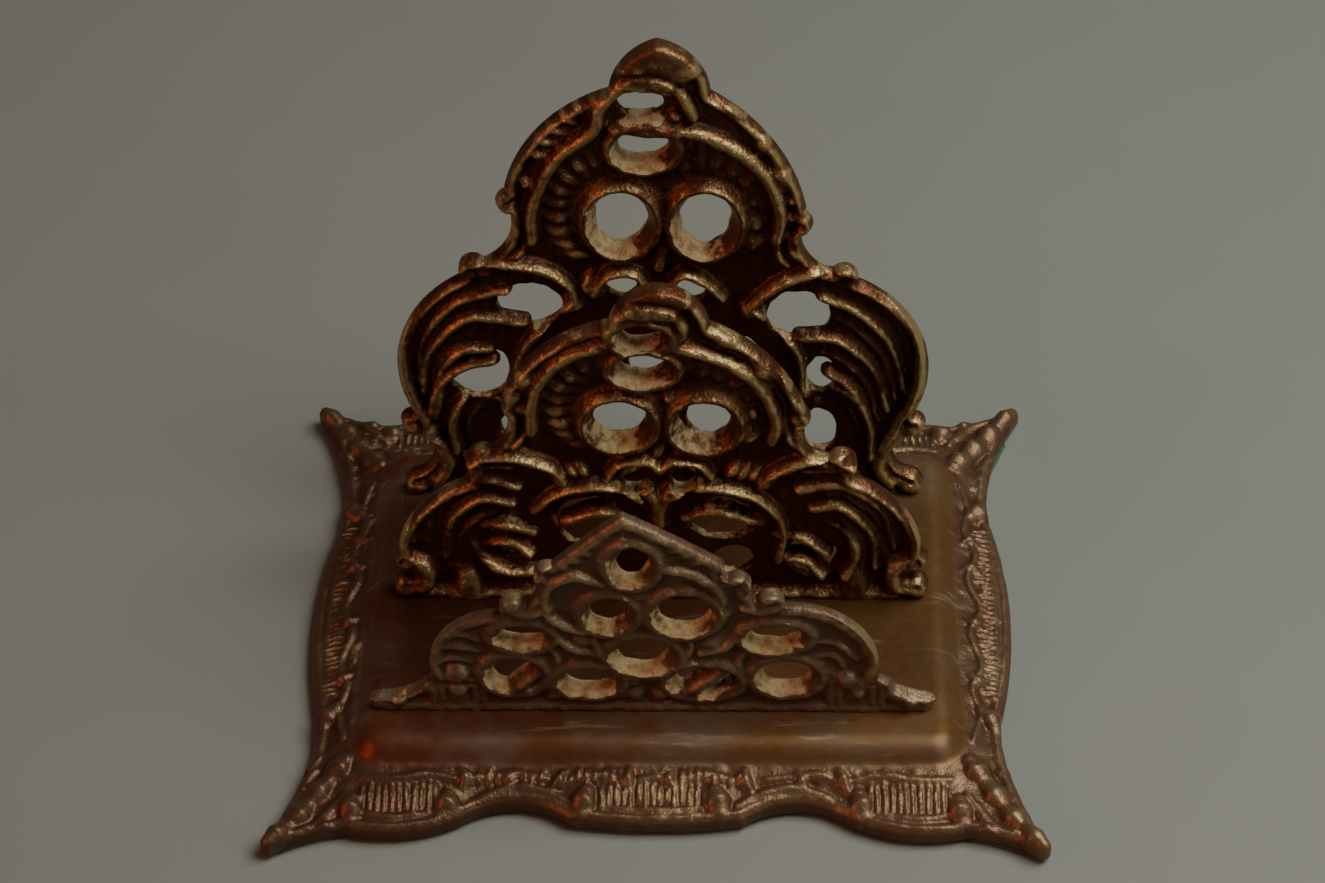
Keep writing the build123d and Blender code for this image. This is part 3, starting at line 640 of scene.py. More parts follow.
class Face:
    """The modelled face of one casting: heights over a grid of places."""

    def __init__(self, low, high, step):
        self.step = step
        self.low = np.array(low) - margin
        counts = np.ceil((np.array(high) + margin - self.low) / step).astype(int) + 1
        lines = [self.low[axis] + step * np.arange(counts[axis]) for axis in (0, 1)]
        self.places = np.stack(np.meshgrid(*lines, indexing="ij"), -1)
        self.across = self.places[..., 0]
        self.up = self.places[..., 1]
        self.level = np.zeros(counts)
        self.moat = np.zeros(counts)
        self.relief = np.full(counts, far_below)

    def near(self, points, reach):
        """The part of the grid within reach of some points."""
        first = np.floor((points.min(0) - reach - self.low) / self.step).astype(int)
        last = np.ceil((points.max(0) + reach - self.low) / self.step).astype(int) + 1
        return tuple(slice(max(start, 0), max(stop, 0)) for start, stop in zip(first, last))

    def along(self, points, reach):
        """Distances of the places near a smooth line, and the share of the line where each is nearest."""
        line = smooth_line(points)
        window = self.near(line, reach)
        cells = self.places[window]
        flat = cells.reshape(-1, 1, 2)
        spans = np.diff(line, axis=0)
        part = np.clip(((flat - line[:-1]) * spans).sum(-1) / (spans ** 2).sum(-1), 0, 1)
        gaps = ((flat - line[:-1] - part[..., None] * spans) ** 2).sum(-1)
        nearest = gaps.argmin(1)
        rows = np.arange(len(nearest))
        distance = np.sqrt(gaps[rows, nearest]).reshape(cells.shape[:2])
        share = ((nearest + part[rows, nearest]) / len(spans)).reshape(cells.shape[:2])
        return window, distance, share

    def lift(self, window, rise, crown, squareness):
        """Raise a rounded crown on the ground of a window."""
        lifted = np.where(crown > 0, self.level[window] + rise * crown ** squareness, far_below)
        self.relief[window] = np.maximum(self.relief[window], lifted)

    def raise_line(self, points, profile):
        """Raise a rounded band with a moat beside it; gives its window and the distances to its edge."""
        widths, rises, squareness = profile
        window, distance, share = self.along(points, max(widths))
        half = np.interp(share, stations, widths) / 2
        crown = np.clip(1 - (distance / half) ** 2, 0, 1)
        self.lift(window, np.interp(share, stations, rises), crown, squareness)
        moat = moat_depth * np.exp(-((distance - half) / moat_width) ** 2)
        self.moat[window] = np.maximum(self.moat[window], moat)
        return window, distance - half

    def raise_bead(self, place, radius):
        """Raise a round bead."""
        window = self.near(np.array([place]), radius)
        gap = ((self.places[window] - place) ** 2).sum(-1) / radius ** 2
        self.lift(window, radius, np.clip(1 - gap, 0, 1), bead_squareness)

    def raise_lip(self, ground, outside, lip, bold=1.0):
        """Raise a rounded lip along an outline."""
        inset, spread, rise = lip
        ridge = rise * bold * np.exp(-((-outside - inset) / spread) ** 2)
        self.relief = np.maximum(self.relief, ground + ridge)

    def swell(self, place, size, rise):
        """Raise or hollow the plain ground in an oval."""
        gap = (((self.places - place) / size) ** 2).sum(-1)
        self.level += rise * np.clip(swell_steepness * (1 - gap), 0, 1)

    def finish(self, limit):
        """The finished heights, softened as a sand casting is, and held below a limit."""
        height = np.maximum(self.level - self.moat, self.relief)
        height = soften(height, face_softness / self.step)
        return np.minimum(height, limit)

    def ripple(self, depth, size, seed):
        """An even random ripple of a depth, with bumps of a size."""
        draw = np.random.default_rng(seed).standard_normal(self.level.shape)
        wave = soften(draw, size / self.step)
        return depth * (wave / wave.std())

    def sample(self, values, spots):
        """Values of a field at some spots, which are held just inside its last cells."""
        cells = (spots - self.low) / self.step
        cells = np.clip(cells, 0, np.array(values.shape) - 1.001)
        whole = cells.astype(int)
        part = cells - whole
        i, j = whole.T
        a, b = part.T
        lower = values[i, j] * (1 - a) + values[i + 1, j] * a
        upper = values[i, j + 1] * (1 - a) + values[i + 1, j + 1] * a
        return lower * (1 - b) + upper * b


def outlines(node, axis, level):
    """The closed outlines of a node's flat at one level of an axis, as rows of points, the longest first."""
    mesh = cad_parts[node].data
    mesh.calc_loop_triangles()
    spots = np.array([vertex.co for vertex in mesh.vertices])
    corners = np.array([triangle.vertices for triangle in mesh.loop_triangles])
    flat = (abs(spots[corners][:, :, axis] - level) < flat_tolerance).all(1)
    keep = [other for other in (0, 1, 2) if other != axis]
    count = {}
    for triangle in corners[flat]:
        keys = [tuple(np.round(spots[corner][keep], join_digits)) for corner in triangle]
        for start, end in zip(keys, keys[1:] + keys[:1]):
            edge = (min(start, end), max(start, end))
            count[edge] = count.get(edge, 0) + 1
    onward = {}
    for start, end in (edge for edge, times in count.items() if times == 1):
        onward.setdefault(start, []).append(end)
        onward.setdefault(end, []).append(start)
    loops = []
    while onward:
        place = next(iter(onward))
        loop = [place]
        while onward.get(place):
            after = onward[place].pop()
            onward[after].remove(place)
            place = after
            loop.append(place)
        onward = {key: ends for key, ends in onward.items() if ends}
        loops.append(np.array(loop))
    return sorted(loops, key=lambda loop: -np.ptp(loop, axis=0).sum())


def reach(face, loops):
    """Distances from the places of a face to some outlines, less than zero inside them."""
    inside = np.zeros(face.level.shape, bool)
    samples = []
    for loop in loops:
        for start, end in zip(loop, loop[1:]):
            crossed = (start[1] <= face.up) != (end[1] <= face.up)
            if start[1] != end[1]:
                meet = start[0] + (face.up - start[1]) * (end[0] - start[0]) / (end[1] - start[1])
                inside ^= crossed & (face.across < meet)
            pieces = max(int(np.linalg.norm(end - start) / outline_sample), 1)
            samples.append(start + (end - start) * (np.arange(pieces) / pieces)[:, None])
    samples = np.vstack(samples)
    tree = kdtree.KDTree(len(samples))
    for number, (across, up) in enumerate(samples):
        tree.insert((across, up, 0), number)
    tree.balance()
    flat = face.places.reshape(-1, 2)
    distance = np.array([tree.find((across, up, 0))[2] for across, up in flat]).reshape(face.level.shape)
    return np.where(inside, -distance, distance)


def oblong(face, half):
    """Distances from the places of a face to a rounded oblong about its middle, less than zero inside it."""
    gap = np.abs(face.places) - np.array(half) + plateau_corner
    return np.sqrt((np.clip(gap, 0, None) ** 2).sum(-1)) + np.clip(gap.max(-1), None, 0) - plateau_corner


def mesh_piece(name, solid, face, layers, limit, turned=None):
    """A closed mesh of a solid given as a field below zero inside, which may be turned into the frame."""
    grid = openvdb.FloatGrid(float(face.step))
    grid.copyFromArray(np.ascontiguousarray(solid, np.float32))
    points, quads = grid.convertToQuads(isovalue=0.0)
    spots = points.astype(float) * face.step + np.array((*face.low, layers[0]))
    if turned:
        spots = turned(spots)
    mesh = bpy.data.meshes.new(name)
    mesh.vertices.add(len(spots))
    mesh.vertices.foreach_set("co", spots.astype(np.float32).ravel())
    mesh.loops.add(4 * len(quads))
    mesh.loops.foreach_set("vertex_index", quads.astype(np.int32).ravel())
    mesh.polygons.add(len(quads))
    mesh.polygons.foreach_set("loop_start", np.arange(0, 4 * len(quads), 4, dtype=np.int32))
    mesh.update(calc_edges=True)
    piece = bpy.data.objects.new(name, mesh)
    bpy.context.scene.collection.objects.link(piece)
    if 2 * len(quads) > limit:
        fewer = piece.modifiers.new("fewer_faces", "DECIMATE")
        fewer.ratio = limit / (2 * len(quads))
        shapes = bpy.context.evaluated_depsgraph_get()
        light = bpy.data.meshes.new_from_object(piece.evaluated_get(shapes))
        piece.modifiers.clear()
        piece.data = light
        light.name = name
    piece.data.shade_smooth()
    return piece


def surface(piece):
    """Places of a piece's vertices, and the way that each one faces."""
    spots = np.empty(3 * len(piece.data.vertices), np.float32)
    ways = np.empty_like(spots)
    piece.data.vertices.foreach_get("co", spots)
    piece.data.vertex_normals.foreach_get("vector", ways)
    return spots.reshape(-1, 3).astype(float), ways.reshape(-1, 3)


def mark(piece, name, values):
    """Keep one value per vertex for the finish."""
    layer = piece.data.attributes.new(name, "FLOAT", "POINT")
    layer.data.foreach_set("value", np.ascontiguousarray(values, np.float32))


def standing(height, face, size):
    """How far each place stands out from what is around it, from 0 in a recess to 1 on a crest."""
    around = soften(height, size / face.step)
    return np.clip(0.5 + (height - around) / crest_rise, 0, 1)


def lug_blocks(face, foot, crown, tall):
    """Raise the bosses over the screws; gives the distances to the lugs, less than zero inside them."""
    lugs = np.full(face.level.shape, far_outside)
    for side in (-1, 1):
        off = face.across - side * screw_offset
        gap = (off / lug_half) ** 2 + ((face.up - foot) / tall) ** 2
        boss = crown * np.clip(boss_steepness * (1 - gap), 0, 1) ** boss_squareness
        face.relief = np.maximum(face.relief, boss)
        lugs = np.minimum(lugs, np.maximum(abs(off) - lug_half, face.up - foot - lug_top))
    return lugs


def panel(name, depth, ground, rim, pale, collar_span, line_shares, bead_shares, ground_shares, seed,
          cut_shares=()):
    """One pierced panel, modelled over the outline of its solid."""
    low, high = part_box(name)
    back = low.y + depth
    lug_back = back - high.y
    bold = (depth - ground) / (full_depth - web)
    face = Face((low.x, low.z), (high.x, high.z), modelling_step)

    # Outlines of the panel, its lugs, its openings and the openings that have a collar
    loops = outlines(name, 1, back)
    crown = back - (low.y + high.y) / 2 + screw_shank + lug_cover
    lugs = lug_blocks(face, low.z, crown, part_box(name + "_screws")[1].z + boss_above_screw - low.z)
    outside = np.minimum(reach(face, loops[:1]), lugs)
    pierced = -reach(face, loops[1:]) + face.ripple(*hole_ripple, seed)
    for points, width in cut_shares:
        window, distance = face.along(np.array(points) * pattern, width * pattern)[:2]
        pierced[window] = np.maximum(pierced[window], width * pattern / 2 - distance)
    first, last = collar_span
    ringed = -reach(face, [loop for loop in loops[1:] if first < loop[:, 1].mean() < last])

    # Relief: the uneven ground, the lips, the lines with bars across openings, the beads and the foot rail
    face.level[:] = ground
    for place, size, rise in ground_shares:
        face.swell(np.array(place) * pattern, np.array(size) * pattern, rise * pattern)
    face.raise_lip(ground, outside, outer_lip, bold)
    face.raise_lip(ground, ringed, collar, bold)
    barred = np.zeros(outside.shape)
    for kind, lines in line_shares.items():
        widths, rises, squareness = profiles[kind]
        profile = (widths, [rise * bold for rise in rises], squareness)
        for points in lines:
            window, edge = face.raise_line(np.array(points) * pattern, profile)
            if kind == "finger":
                pierced[window] = np.minimum(pierced[window], edge + bar_inset)
                barred[window] = np.maximum(barred[window], np.clip(1 - edge / bar_fade, 0, 1))
    for place, size in bead_shares:
        face.raise_bead(np.array(place) * pattern, size * pattern)
    foot = np.clip((rail_top - face.up) / rail_fade, 0, 1)
    face.relief = np.maximum(face.relief, ground + rail_rise * foot * bold + far_below * (1 - foot))
    height = np.minimum(face.finish(depth) + face.ripple(*panel_ripple, seed + 1), depth)

    # Layers from the back of the lugs to the face
    layers = np.arange(lug_back - margin, depth + margin, modelling_step)
    inward = np.clip(1 - layers / depth, 0, 1)
    collared = (ringed > -collar_reach)[..., None]
    flare = np.where(collared, collar_flare[0] - sum(collar_flare) * inward,
                     wall_flare[0] - sum(wall_flare) * inward)
    front = layers - height[..., None]
    solid = soft_max(outside[..., None], front, rim)
    solid = np.maximum(solid, soft_max(pierced[..., None] + flare, front, hole_roundness))
    solid = soft_max(solid, -layers, rim)
    block = soft_max(lugs[..., None], lug_back - layers, hole_roundness)
    solid = np.minimum(solid, np.maximum(block, layers - ground))
    solid = np.maximum(solid, (low.z - face.up)[..., None])

    def turned(spots):
        return np.stack((spots[:, 0], back - spots[:, 2], np.clip(spots[:, 1], low.z, high.z)), 1)

    piece = mesh_piece(name + "_casting", solid, face, layers, panel_face_limit, turned)

    # Wear, partly painted highlight, on the crests; residue on the walls of the openings and on what faces
    # up, partly painted light where they face the top lamp
    spots, ways = surface(piece)
    flat = spots[:, [0, 2]]
    hidden = ways[:, 1] > back_facing
    raised = np.clip((height - ground - raised_start) / (raised_height * bold), 0, 1)
    crest = standing(height, face, crest_width) * (ground_wear + (1 - ground_wear) * raised)
    crest = crest * (1 - collar_dulling * np.exp(-(ringed / collar_dull_width) ** 2))
    mark(piece, "proud", np.where(hidden, back_wear, face.sample(crest, flat)))
    inland = fade(face.sample(outside, flat), *inland_span)
    sunk = fade(face.sample(height, flat) - back + spots[:, 1], *sunk_span)
    # Painted light: walls that face up and to the right, towards the top lamp, get more pale residue than
    # the rest
    lamp_facing = fade(ways[:, 2] + slope_lean * ways[:, 0], *slope_span)
    opening = fade(face.sample(pierced, flat), *opening_span) * inland
    opening = opening * (1 - bar_cleanness * face.sample(barred, flat))
    residue_and_light = np.where(face.sample(ringed, flat) > -collar_reach, pale, plain_residue)
    mark(piece, "wall", np.where(hidden, 0, opening * residue_and_light * np.maximum(sunk_residue * sunk, lamp_facing)))
    mark(piece, "polish", np.zeros(len(spots)))
    mark(piece, "painted_shade", np.zeros(len(spots)))
    mark(piece, "upward", np.clip(ways[:, 2], 0, 1) * inland)
    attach(piece, "root")
    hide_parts(name)
    return piece


def rib_row(face, row_shares, turn, spacing, on_side=False):
    """A row of uneven ribs across the front or rear border, or on a side border."""
    start, end, first, last = np.array(row_shares) * (1, 1, turn, turn) * pattern
    count = int(round((end - start) / spacing))
    uneven = np.random.default_rng(count).normal(size=(count + 1, 4))
    for place, (shift, lean, rise, fall) in zip(np.linspace(start, end, count + 1), uneven):
        place += rib_shift * shift
        top = first + rib_start_shift * rise
        bottom = last + rib_end_shift * fall
        points = np.array([(place + rib_lean * lean, top), (place, (top + bottom) / 2), (place, bottom)])
        face.raise_line(points[:, ::-1] if on_side else points, base_profiles["rib"])


def border_lines(face, line_shares, side):
    """Raise the lines of one stretch of the border, mirrored to a side."""
    for kind, lines in line_shares.items():
        for points in lines:
            face.raise_line(np.array(points) * pattern * side, base_profiles[kind])


def base():
    """The base casting: a smooth plateau, an ornate border and a hollow underside."""
    name = "base_plate"
    low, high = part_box(name)
    face = Face((low.x, low.y), (high.x, high.y), base_step)
    outside = reach(face, outlines(name, 2, low.z)[:1])
    inner = oblong(face, plateau_half)

    # Border from the plateau's foot to the rim
    beyond = np.clip(inner, 0, None)
    fall = beyond / (beyond + np.clip(-outside, least_border, None))
    border = plateau_foot + (rim_top - plateau_foot) * fall ** border_sag
    face.level[:] = border
    for turn in (1, -1):
        for row_shares in front_rib_rows_shares:
            rib_row(face, row_shares, turn, rib_spacing)
        for row_shares in front_tooth_rows_shares:
            rib_row(face, row_shares, turn, tooth_spacing)
        rib_row(face, side_rib_row_shares, turn, rib_spacing, on_side=True)
    ribs = face.relief.copy()
    face.raise_lip(border, outside, rim_lip)
    for turn in (1, -1):
        border_lines(face, front_border_shares, (1, turn))
        border_lines(face, side_border_shares, (turn, 1))
    for side in ((1, 1), (1, -1), (-1, 1), (-1, -1)):
        border_lines(face, corner_shares, side)
    top = face.finish(high.z) + face.ripple(*border_ripple, border_seed)

    # Smooth plateau with its rolled edge
    roll = np.clip((inner + plateau_roll) / plateau_roll, 0, roll_end)
    plateau = plateau_top - (plateau_top - plateau_foot) * roll ** roll_curve
    plateau = plateau + face.ripple(*plateau_ripple, plateau_seed)
    plateau = np.where(inner > plateau_roll, far_below, plateau)
    top = np.where(inner < -plateau_inside, plateau, soft_max(top, plateau, foot_blend))
    top = np.minimum(top, high.z)

    # Hollow underside
    bay = oblong(face, land_half)
    ceiling = low.z + (plateau_top - base_wall - low.z) * np.clip(-bay / land_slope, 0, 1)
    ceiling = soften(np.where(bay > 0, low.z, ceiling), ceiling_softness / base_step)
    under = np.minimum(ceiling, top - least_wall)
    under = np.where(bay > 0, low.z, np.maximum(under, low.z))

    # Layers from the underside to the top, with the holes for the screws
    layers = np.arange(low.z - margin, high.z + margin, base_step)
    edge = np.maximum(outside + face.ripple(*rim_ripple, rim_seed), outside)
    solid = soft_max(edge[..., None], layers - top[..., None], edge_roundness)
    solid = soft_max(solid, under[..., None] - layers, edge_roundness)
    for node in ("front_panel", "middle_panel", "rear_panel"):
        panel_low, panel_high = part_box(node)
        for side in (-1, 1):
            middle = np.array((side * screw_offset, (panel_low.y + panel_high.y) / 2))
            gap = screw_hole - np.sqrt(((face.places - middle) ** 2).sum(-1))
            solid = np.maximum(solid, gap[..., None])

    piece = mesh_piece("base_casting", solid, face, layers, base_face_limit)

    # Wear, partly painted highlight, on the crests, residue on the ribs, a polished plateau with painted
    # shade between the panels
    spots, ways = surface(piece)
    flat = spots[:, :2]
    crest = face.sample(standing(top, face, border_crest_width), flat)
    mark(piece, "proud", crest)
    rib_height = fade(ribs - border, 0, rib_full)
    ribbed = face.sample(rib_height * (face.relief - ribs < rib_cover), flat)
    mark(piece, "wall", rib_residue * ribbed * fade(crest, *rib_crest_span))
    mark(piece, "polish", face.sample(fade(inner, *polish_span), flat))
    # Painted shade on the plateau between the panels
    painted_shade_reach = (np.abs(flat - painted_shade_middle) / np.array(painted_shade_half)).max(1)
    painted_shade = np.clip(painted_shade_steepness * (1 - painted_shade_reach), 0, 1)
    mark(piece, "painted_shade", painted_shade * (spots[:, 2] > plateau_foot))
    near_ribs = np.clip(surround_steepness * soften(rib_height, rib_surround / base_step), 0, 1)
    # Up-facing hollows of the border get pale residue, partly painted light from above
    upward = np.clip(ways[:, 2], 0, 1) * np.clip(crest_shedding * (1 - crest), 0, 1)
    mark(piece, "upward", upward * face.sample(1 - near_ribs, flat) * (face.sample(inner, flat) > 0))
    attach(piece, "root")
    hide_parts(name)
    return piece


def felt(name, seed):
    """One felt pad with a soft, uneven edge."""
    low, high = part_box(name)
    face = Face((low.x, low.y), (high.x, high.y), felt_step)
    loop = outlines(name, 2, low.z)[0]
    edge = reach(face, [loop]) + np.abs(face.ripple(*felt_edge_ripple, seed))
    top = high.z - np.abs(face.ripple(*felt_top_ripple, seed + 1))
    layers = np.arange(low.z - margin, high.z + margin, felt_step)
    solid = soft_max(edge[..., None], layers - top[..., None], felt_top_roundness)
    solid = soft_max(solid, low.z - layers, felt_foot_roundness)
    piece = mesh_piece(name + "_felt", solid, face, layers, felt_face_limit)
    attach(piece, "root")
    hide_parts(name)
    return piece


class Value:
    """One socket of a finish; sums, differences and products of values add Math nodes."""

    def __init__(self, finish, socket):
        self.finish = finish
        self.socket = socket

    def math(self, operation, *terms):
        return self.finish.node("ShaderNodeMath", {"operation": operation}, dict(enumerate(terms)))

    def __add__(self, other):
        return self.math("ADD", self, other)

    def __sub__(self, other):
        return self.math("SUBTRACT", self, other)

    def __rsub__(self, other):
        return self.math("SUBTRACT", other, self)

    def __mul__(self, other):
        return self.math("MULTIPLY", self, other)

    __radd__ = __add__
    __rmul__ = __mul__

    def between(self, low, high):
        """0 below low, 1 above high, and smooth between them."""
        inputs = {"Value": self, "From Min": low, "From Max": high}
        return self.finish.node("ShaderNodeMapRange", {"interpolation_type": "SMOOTHSTEP"}, inputs)


class Finish:
    """A material, built from nodes."""

    def __init__(self, name):
        self.material = bpy.data.materials.new(name)
        self.material.use_nodes = True
        self.tree = self.material.node_tree
        self.shader = self.tree.nodes["Principled BSDF"]

    def fill(self, socket, value):
        """Link a value to a socket, or set a number or colour on it."""
        if isinstance(value, Value):
            self.tree.links.new(value.socket, socket)
        else:
            socket.default_value = value

    def node(self, kind, settings, inputs, output=0):
        """Add a node of a kind, with its settings and what goes into its sockets."""
        made = self.tree.nodes.new(kind)
        for setting, value in settings.items():
            setattr(made, setting, value)
        for socket, value in inputs.items():
            self.fill(made.inputs[socket], value)
        return Value(self, made.outputs[output])

    def place(self):
        return self.node("ShaderNodeTexCoord", {}, {}, "Object")

    def across(self):
        return self.node("ShaderNodeSeparateXYZ", {}, {0: self.place()}, "X")

    def mark(self, name):
        return self.node("ShaderNodeAttribute", {"attribute_name": name}, {}, "Fac")

    def noise(self, scale, detail, stretch=(1, 1, 1)):
        place = self.node("ShaderNodeVectorMath", {"operation": "MULTIPLY"}, {0: self.place(), 1: stretch})
        inputs = {"Vector": place, "Scale": scale, "Detail": detail, "Roughness": noise_roughness}
        return self.node("ShaderNodeTexNoise", {}, inputs)

    def mix(self, share, first, second):
        """Mix two colours; the node has them as inputs 6 and 7, and the result as output 2."""
        return self.node("ShaderNodeMix", {"data_type": "RGBA"}, {0: share, 6: first, 7: second}, 2)

    def bump(self, height, depth, strength):
        return self.node("ShaderNodeBump", {}, {"Height": height, "Distance": depth, "Strength": strength})

    def feed(self, **inputs):
        """Fill the sockets of the shader."""
        for name, value in inputs.items():
            self.fill(self.shader.inputs[name.replace("_", " ")], value)


# Colours of the finishes
red_patina = (0.125, 0.044, 0.020, 1)
olive_patina = (0.17, 0.096, 0.042, 1)
# Gold of the crests: partly wear, partly painted highlight
worn_crest_and_highlight = (0.48, 0.36, 0.17, 1)
# Recesses: dark patina with painted shade
recess_patina_and_shade_colour = (0.078, 0.028, 0.014, 1)
dull_taupe = (0.18, 0.148, 0.103, 1)
dark_chalk = (0.36, 0.24, 0.105, 1)
pale_chalk = (0.58, 0.46, 0.25, 1)
# Plateau: painted reflection, dark red on the left and golden on the right
plate_left_reflection = (0.12, 0.030, 0.016, 1)
plate_right_reflection = (0.155, 0.076, 0.025, 1)
plate_haze = (0.165, 0.122, 0.088, 1)
plate_streak = (0.34, 0.28, 0.19, 1)
# Painted shade on the plateau between the panels
plate_painted_shade = (0.040, 0.013, 0.008, 1)
# Painted shade on the left side of the base's border
left_painted_shade = (0.050, 0.014, 0.008, 1)
brass_glint = (1.0, 0.87, 0.68, 1)
bright_screw = (0.42, 0.29, 0.12, 1)
tarnished_screw = (0.20, 0.13, 0.06, 1)
dark_felt = (0.008, 0.060, 0.026, 1)
green_nap = (0.030, 0.190, 0.080, 1)
worn_felt = (0.07, 0.16, 0.08, 1)
floor_colours = ((0.203, 0.226, 0.208, 1), (0.219, 0.243, 0.223, 1))

# Where the painted light turns from the darker left side to the lighter right side, and the grain of all
# noises
painted_light_span = (-85 * mm, 60 * mm)
noise_roughness = 0.55


def aged_brass(name, dulling, crest_wear_and_highlight, pitting, left_painted_shade_share):
    """Old cast brass: a brown patina, worn bright on the crests with a painted highlight, pale residue on
    the holes' walls that is partly painted light, recesses darkened by patina and painted shade, and painted
    shade on the left and between the panels.
    """
    finish = Finish(name)
    proud = finish.mark("proud")
    wall = finish.mark("wall")
    polish = finish.mark("polish")
    painted_shade = finish.mark("painted_shade")
    upward = finish.mark("upward")
    blotch = finish.noise(60, 4.0)
    fine = finish.noise(420, 3.0)
    grit = finish.noise(1500, 2.0)
    speckle = (blotch - 0.5) * 1.2 + (fine - 0.5) * 1.3
    # Painted light across the rack: 0 on the darker left side, 1 on the lighter right side
    side = finish.across().between(*painted_light_span)
    bare = 1 - polish

    # Rough castings
    # Pale residue on the walls and on what faces up: partly residue, partly painted light
    residue_and_light = (wall * 0.85 + upward * 0.32 + speckle).between(0.40, 0.80) * bare
    # Gold on the crests: partly wear, partly painted highlight
    worn = (proud + speckle * 0.9).between(0.56, 0.92) * bare * crest_wear_and_highlight
    # Dark recesses: patina in the hollows and painted shade there
    recess_patina_and_shade = (1 - proud).between(0.48, 0.75) * bare
    patina = finish.mix(blotch.between(0.35, 0.7), red_patina, olive_patina)
    casting = finish.mix(worn, patina, worn_crest_and_highlight)

    # Smooth plateau of the base
    # Painted reflection: darker red on the left of the plateau, golden on the right
    plate = finish.mix(side, plate_left_reflection, plate_right_reflection)
    haze = blotch.between(0.36, 0.66) * (1 - painted_shade) * (0.85 - side * 0.35)
    plate = finish.mix(haze, plate, plate_haze)
    streak = finish.noise(45, 5.0, (1, 7, 1)).between(0.60, 0.70) * 0.5
    plate = finish.mix(streak, plate, plate_streak)
    # Painted shade on the plateau between the panels, stronger on the left
    plate = finish.mix(painted_shade * (0.9 - side * 0.5), plate, plate_painted_shade)

    # Both together, with recesses darkened by patina and painted shade, dulling, residue with painted light,
    # and painted shade on the left side
    metal = finish.mix(polish, casting, plate)
    metal = finish.mix(recess_patina_and_shade * 0.9, metal, recess_patina_and_shade_colour)
    metal = finish.mix(bare * (1 - recess_patina_and_shade * 0.5) * dulling, metal, dull_taupe)
    chalk = finish.mix(fine.between(0.35, 0.62), dark_chalk, pale_chalk)
    colour = finish.mix(residue_and_light * 0.9, metal, chalk)
    # Painted shade on the left side of the base's border
    colour = finish.mix((1 - side) * bare * left_painted_shade_share, colour, left_painted_shade)
    pits = (fine * 2 + grit) * (0.7 + residue_and_light * 0.6 - polish * 0.62)
    finish.feed(
        Base_Color=colour,
        Metallic=0.62 - dulling * 0.25 - residue_and_light * 0.35 + worn * 0.2,
        Roughness=0.36 + dulling * 0.12 + polish * 0.06 + residue_and_light * 0.25 + (fine - 0.5) * 0.3,
        Specular_Tint=brass_glint,
        Normal=finish.bump(pits, pitting, 0.9),
    )
    return finish.material


def turned_brass():
    """Dull brass of the screws, with fine turning marks."""
    finish = Finish("turned_screw_brass")
    tarnish = finish.noise(260, 3.0)
    turning = finish.noise(1800, 2.0)
    finish.feed(
        Base_Color=finish.mix(tarnish.between(0.35, 0.7), bright_screw, tarnished_screw),
        Metallic=1.0,
        Roughness=0.36 + tarnish * 0.2,
        Normal=finish.bump(turning, 0.05 * mm, 0.4),
    )
    return finish.material


def green_felt():
    """Short green felt, worn in places."""
    finish = Finish("green_pad_felt")
    tufts = finish.noise(1400, 4.0)
    worn = finish.noise(160, 2.0)
    colour = finish.mix(tufts.between(0.3, 0.72), dark_felt, green_nap)
    finish.feed(
        Base_Color=finish.mix(worn.between(0.5, 0.8) * 0.4, colour, worn_felt),
        Roughness=0.96,
        Sheen_Weight=0.4,
        Normal=finish.bump(tufts, 0.3 * mm, 0.8),
    )
    return finish.material


def pale_floor():
    """The plain pale surface that the rack stands on."""
    finish = Finish("pale_floor")
    finish.feed(Base_Color=finish.mix(finish.noise(14, 2.0), *floor_colours), Roughness=0.55)
    return finish.material


# Castings
base_piece = base()
rear_piece = panel(
    "rear_panel", depth=full_depth, ground=web, rim=2.0 * mm, pale=1.0, collar_span=(88 * mm, 131 * mm),
    line_shares=rear_line_shares, bead_shares=rear_bead_shares, ground_shares=rear_ground_shares,
    cut_shares=rear_cut_shares, seed=1,
)
middle_piece = panel(
    "middle_panel", depth=full_depth, ground=web, rim=1.6 * mm, pale=0.65, collar_span=(60 * mm, 95 * mm),
    line_shares=middle_line_shares, bead_shares=middle_bead_shares, ground_shares=middle_ground_shares,
    seed=11,
)
front_piece = panel(
    "front_panel", depth=front_depth, ground=front_ground, rim=0.6 * mm, pale=0.85,
    collar_span=(10 * mm, 70 * mm), line_shares=front_line_shares, bead_shares=front_bead_shares,
    ground_shares=front_ground_shares, cut_shares=front_cut_shares, seed=21,
)
border_brass = aged_brass("border_cast_brass", dulling=0.34, crest_wear_and_highlight=0.2, pitting=0.2 * mm, left_painted_shade_share=0.5)
dark_brass = aged_brass("dark_cast_brass", dulling=0.0, crest_wear_and_highlight=0.85, pitting=0.35 * mm, left_painted_shade_share=0.0)
taupe_brass = aged_brass("taupe_cast_brass", dulling=0.5, crest_wear_and_highlight=0.75, pitting=0.25 * mm, left_painted_shade_share=0.0)
base_piece.data.materials.append(border_brass)
rear_piece.data.materials.append(dark_brass)
middle_piece.data.materials.append(dark_brass)
front_piece.data.materials.append(taupe_brass)

# Screws
screw_finish = turned_brass()
for node in ("rear_panel_screws", "middle_panel_screws", "front_panel_screws"):
    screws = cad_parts[node]
    screws.data.materials.clear()
    screws.data.materials.append(screw_finish)

# Felt pads
pad_finish = green_felt()
for number, place in enumerate(("front_left", "front_right", "rear_left", "rear_right")):
    pad = felt("felt_pad_" + place, felt_seed + 2 * number)
    pad.data.materials.append(pad_finish)

# Floor
floor_half = 3.0
floor_mesh = bpy.data.meshes.new("floor")
floor_corners = [(floor_half * x, floor_half * y, 0) for x, y in ((-1, -1), (1, -1), (1, 1), (-1, 1))]
floor_mesh.from_pydata(floor_corners, [], [(0, 1, 2, 3)])
floor = bpy.data.objects.new("floor", floor_mesh)
bpy.context.scene.collection.objects.link(floor)
floor.data.materials.append(pale_floor())

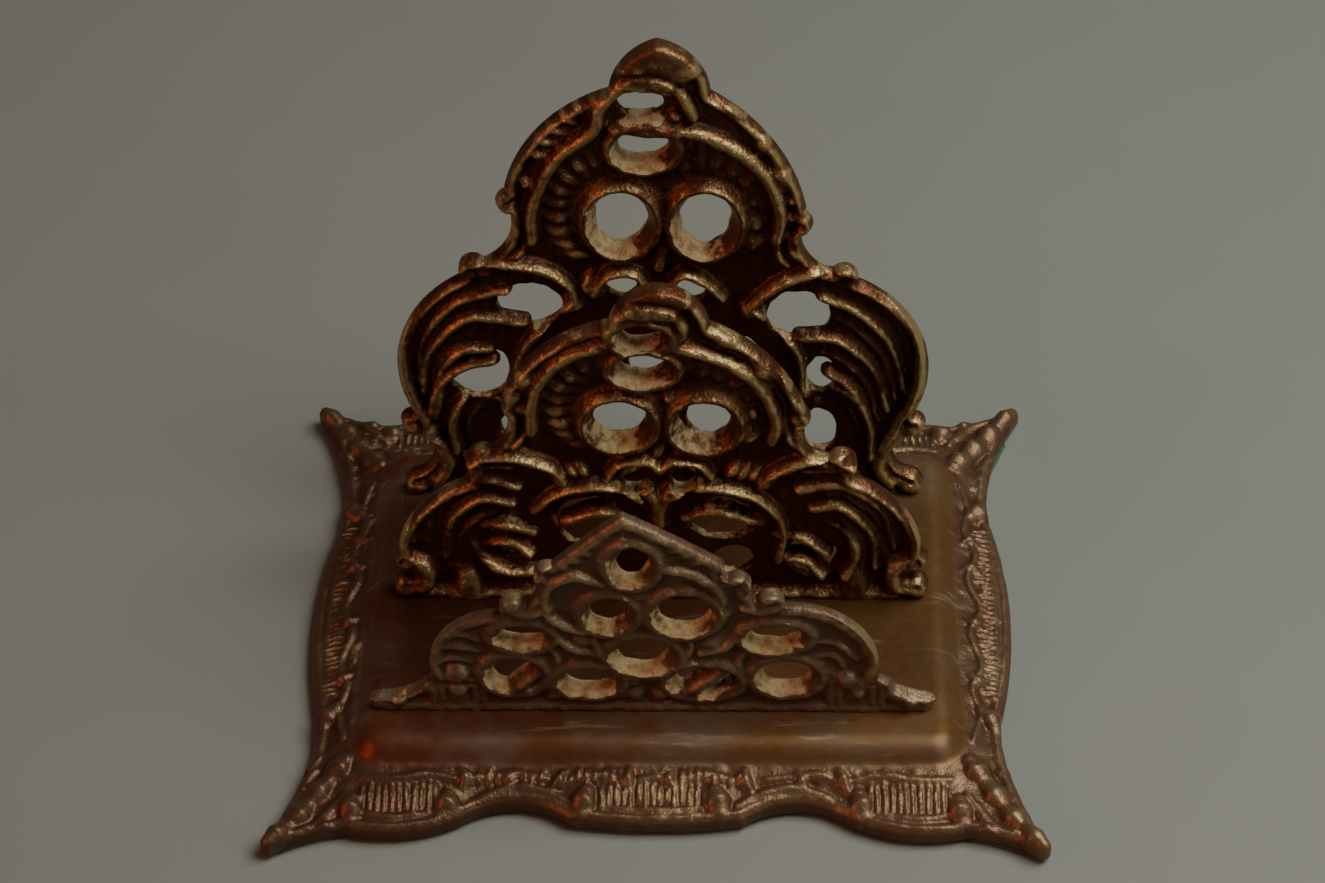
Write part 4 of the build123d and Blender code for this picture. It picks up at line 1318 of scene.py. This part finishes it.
# Camera at the photograph's viewing angle
view_turn = math.radians(2.13)
view_height = math.radians(42)
view_roll = math.radians(-1.33)
view_distance = 870 * mm
view_aim = Vector((0.3 * mm, 23.5 * mm, 40 * mm))
view_lens = 98.3
view_sensor = 36
back = Vector((
    math.sin(view_turn) * math.cos(view_height),
    -math.cos(view_turn) * math.cos(view_height),
    math.sin(view_height),
))
right = Vector((math.cos(view_turn), math.sin(view_turn), 0))
up = back.cross(right)
rolled_right = math.cos(view_roll) * right + math.sin(view_roll) * up
rolled_up = -math.sin(view_roll) * right + math.cos(view_roll) * up
facing = Matrix((rolled_right, rolled_up, back)).transposed().to_4x4()
camera = bpy.data.objects.new("camera", bpy.data.cameras.new("camera"))
camera.data.sensor_fit = "HORIZONTAL"
camera.data.sensor_width = view_sensor
camera.data.lens = view_lens
camera.matrix_world = Matrix.Translation(view_aim + view_distance * back) @ facing
bpy.context.scene.collection.objects.link(camera)
bpy.context.scene.camera = camera

# Lamps, and the dim grey room around them
lamp_target = Vector((0, 0, 50 * mm))


def soft_light(name, place, size, power, colour):
    """A large soft lamp that faces the rack."""
    lamp = bpy.data.lights.new(name, "AREA")
    lamp.shape = "RECTANGLE"
    lamp.size, lamp.size_y = size
    lamp.energy = power
    lamp.color = colour
    holder = bpy.data.objects.new(name, lamp)
    holder.location = place
    holder.rotation_euler = (lamp_target - Vector(place)).to_track_quat("-Z", "Y").to_euler()
    bpy.context.scene.collection.objects.link(holder)


soft_light("top_softbox", (0.55, 0.0, 0.95), (0.8, 0.6), power=11.5, colour=(1.0, 0.96, 0.86))
soft_light("left_fill", (-1.3, -0.7, 0.7), (0.6, 0.6), power=6.4, colour=(1.0, 0.25, 0.13))
soft_light("right_fill", (0.8, -0.4, 0.45), (0.5, 0.5), power=0.9, colour=(1.0, 0.84, 0.62))
room_colour = (0.62, 0.62, 0.60, 1)
room_strength = 0.1
world = bpy.data.worlds.new("studio")
world.use_nodes = True
room = world.node_tree.nodes["Background"]
room.inputs["Color"].default_value = room_colour
room.inputs["Strength"].default_value = room_strength
bpy.context.scene.world = world
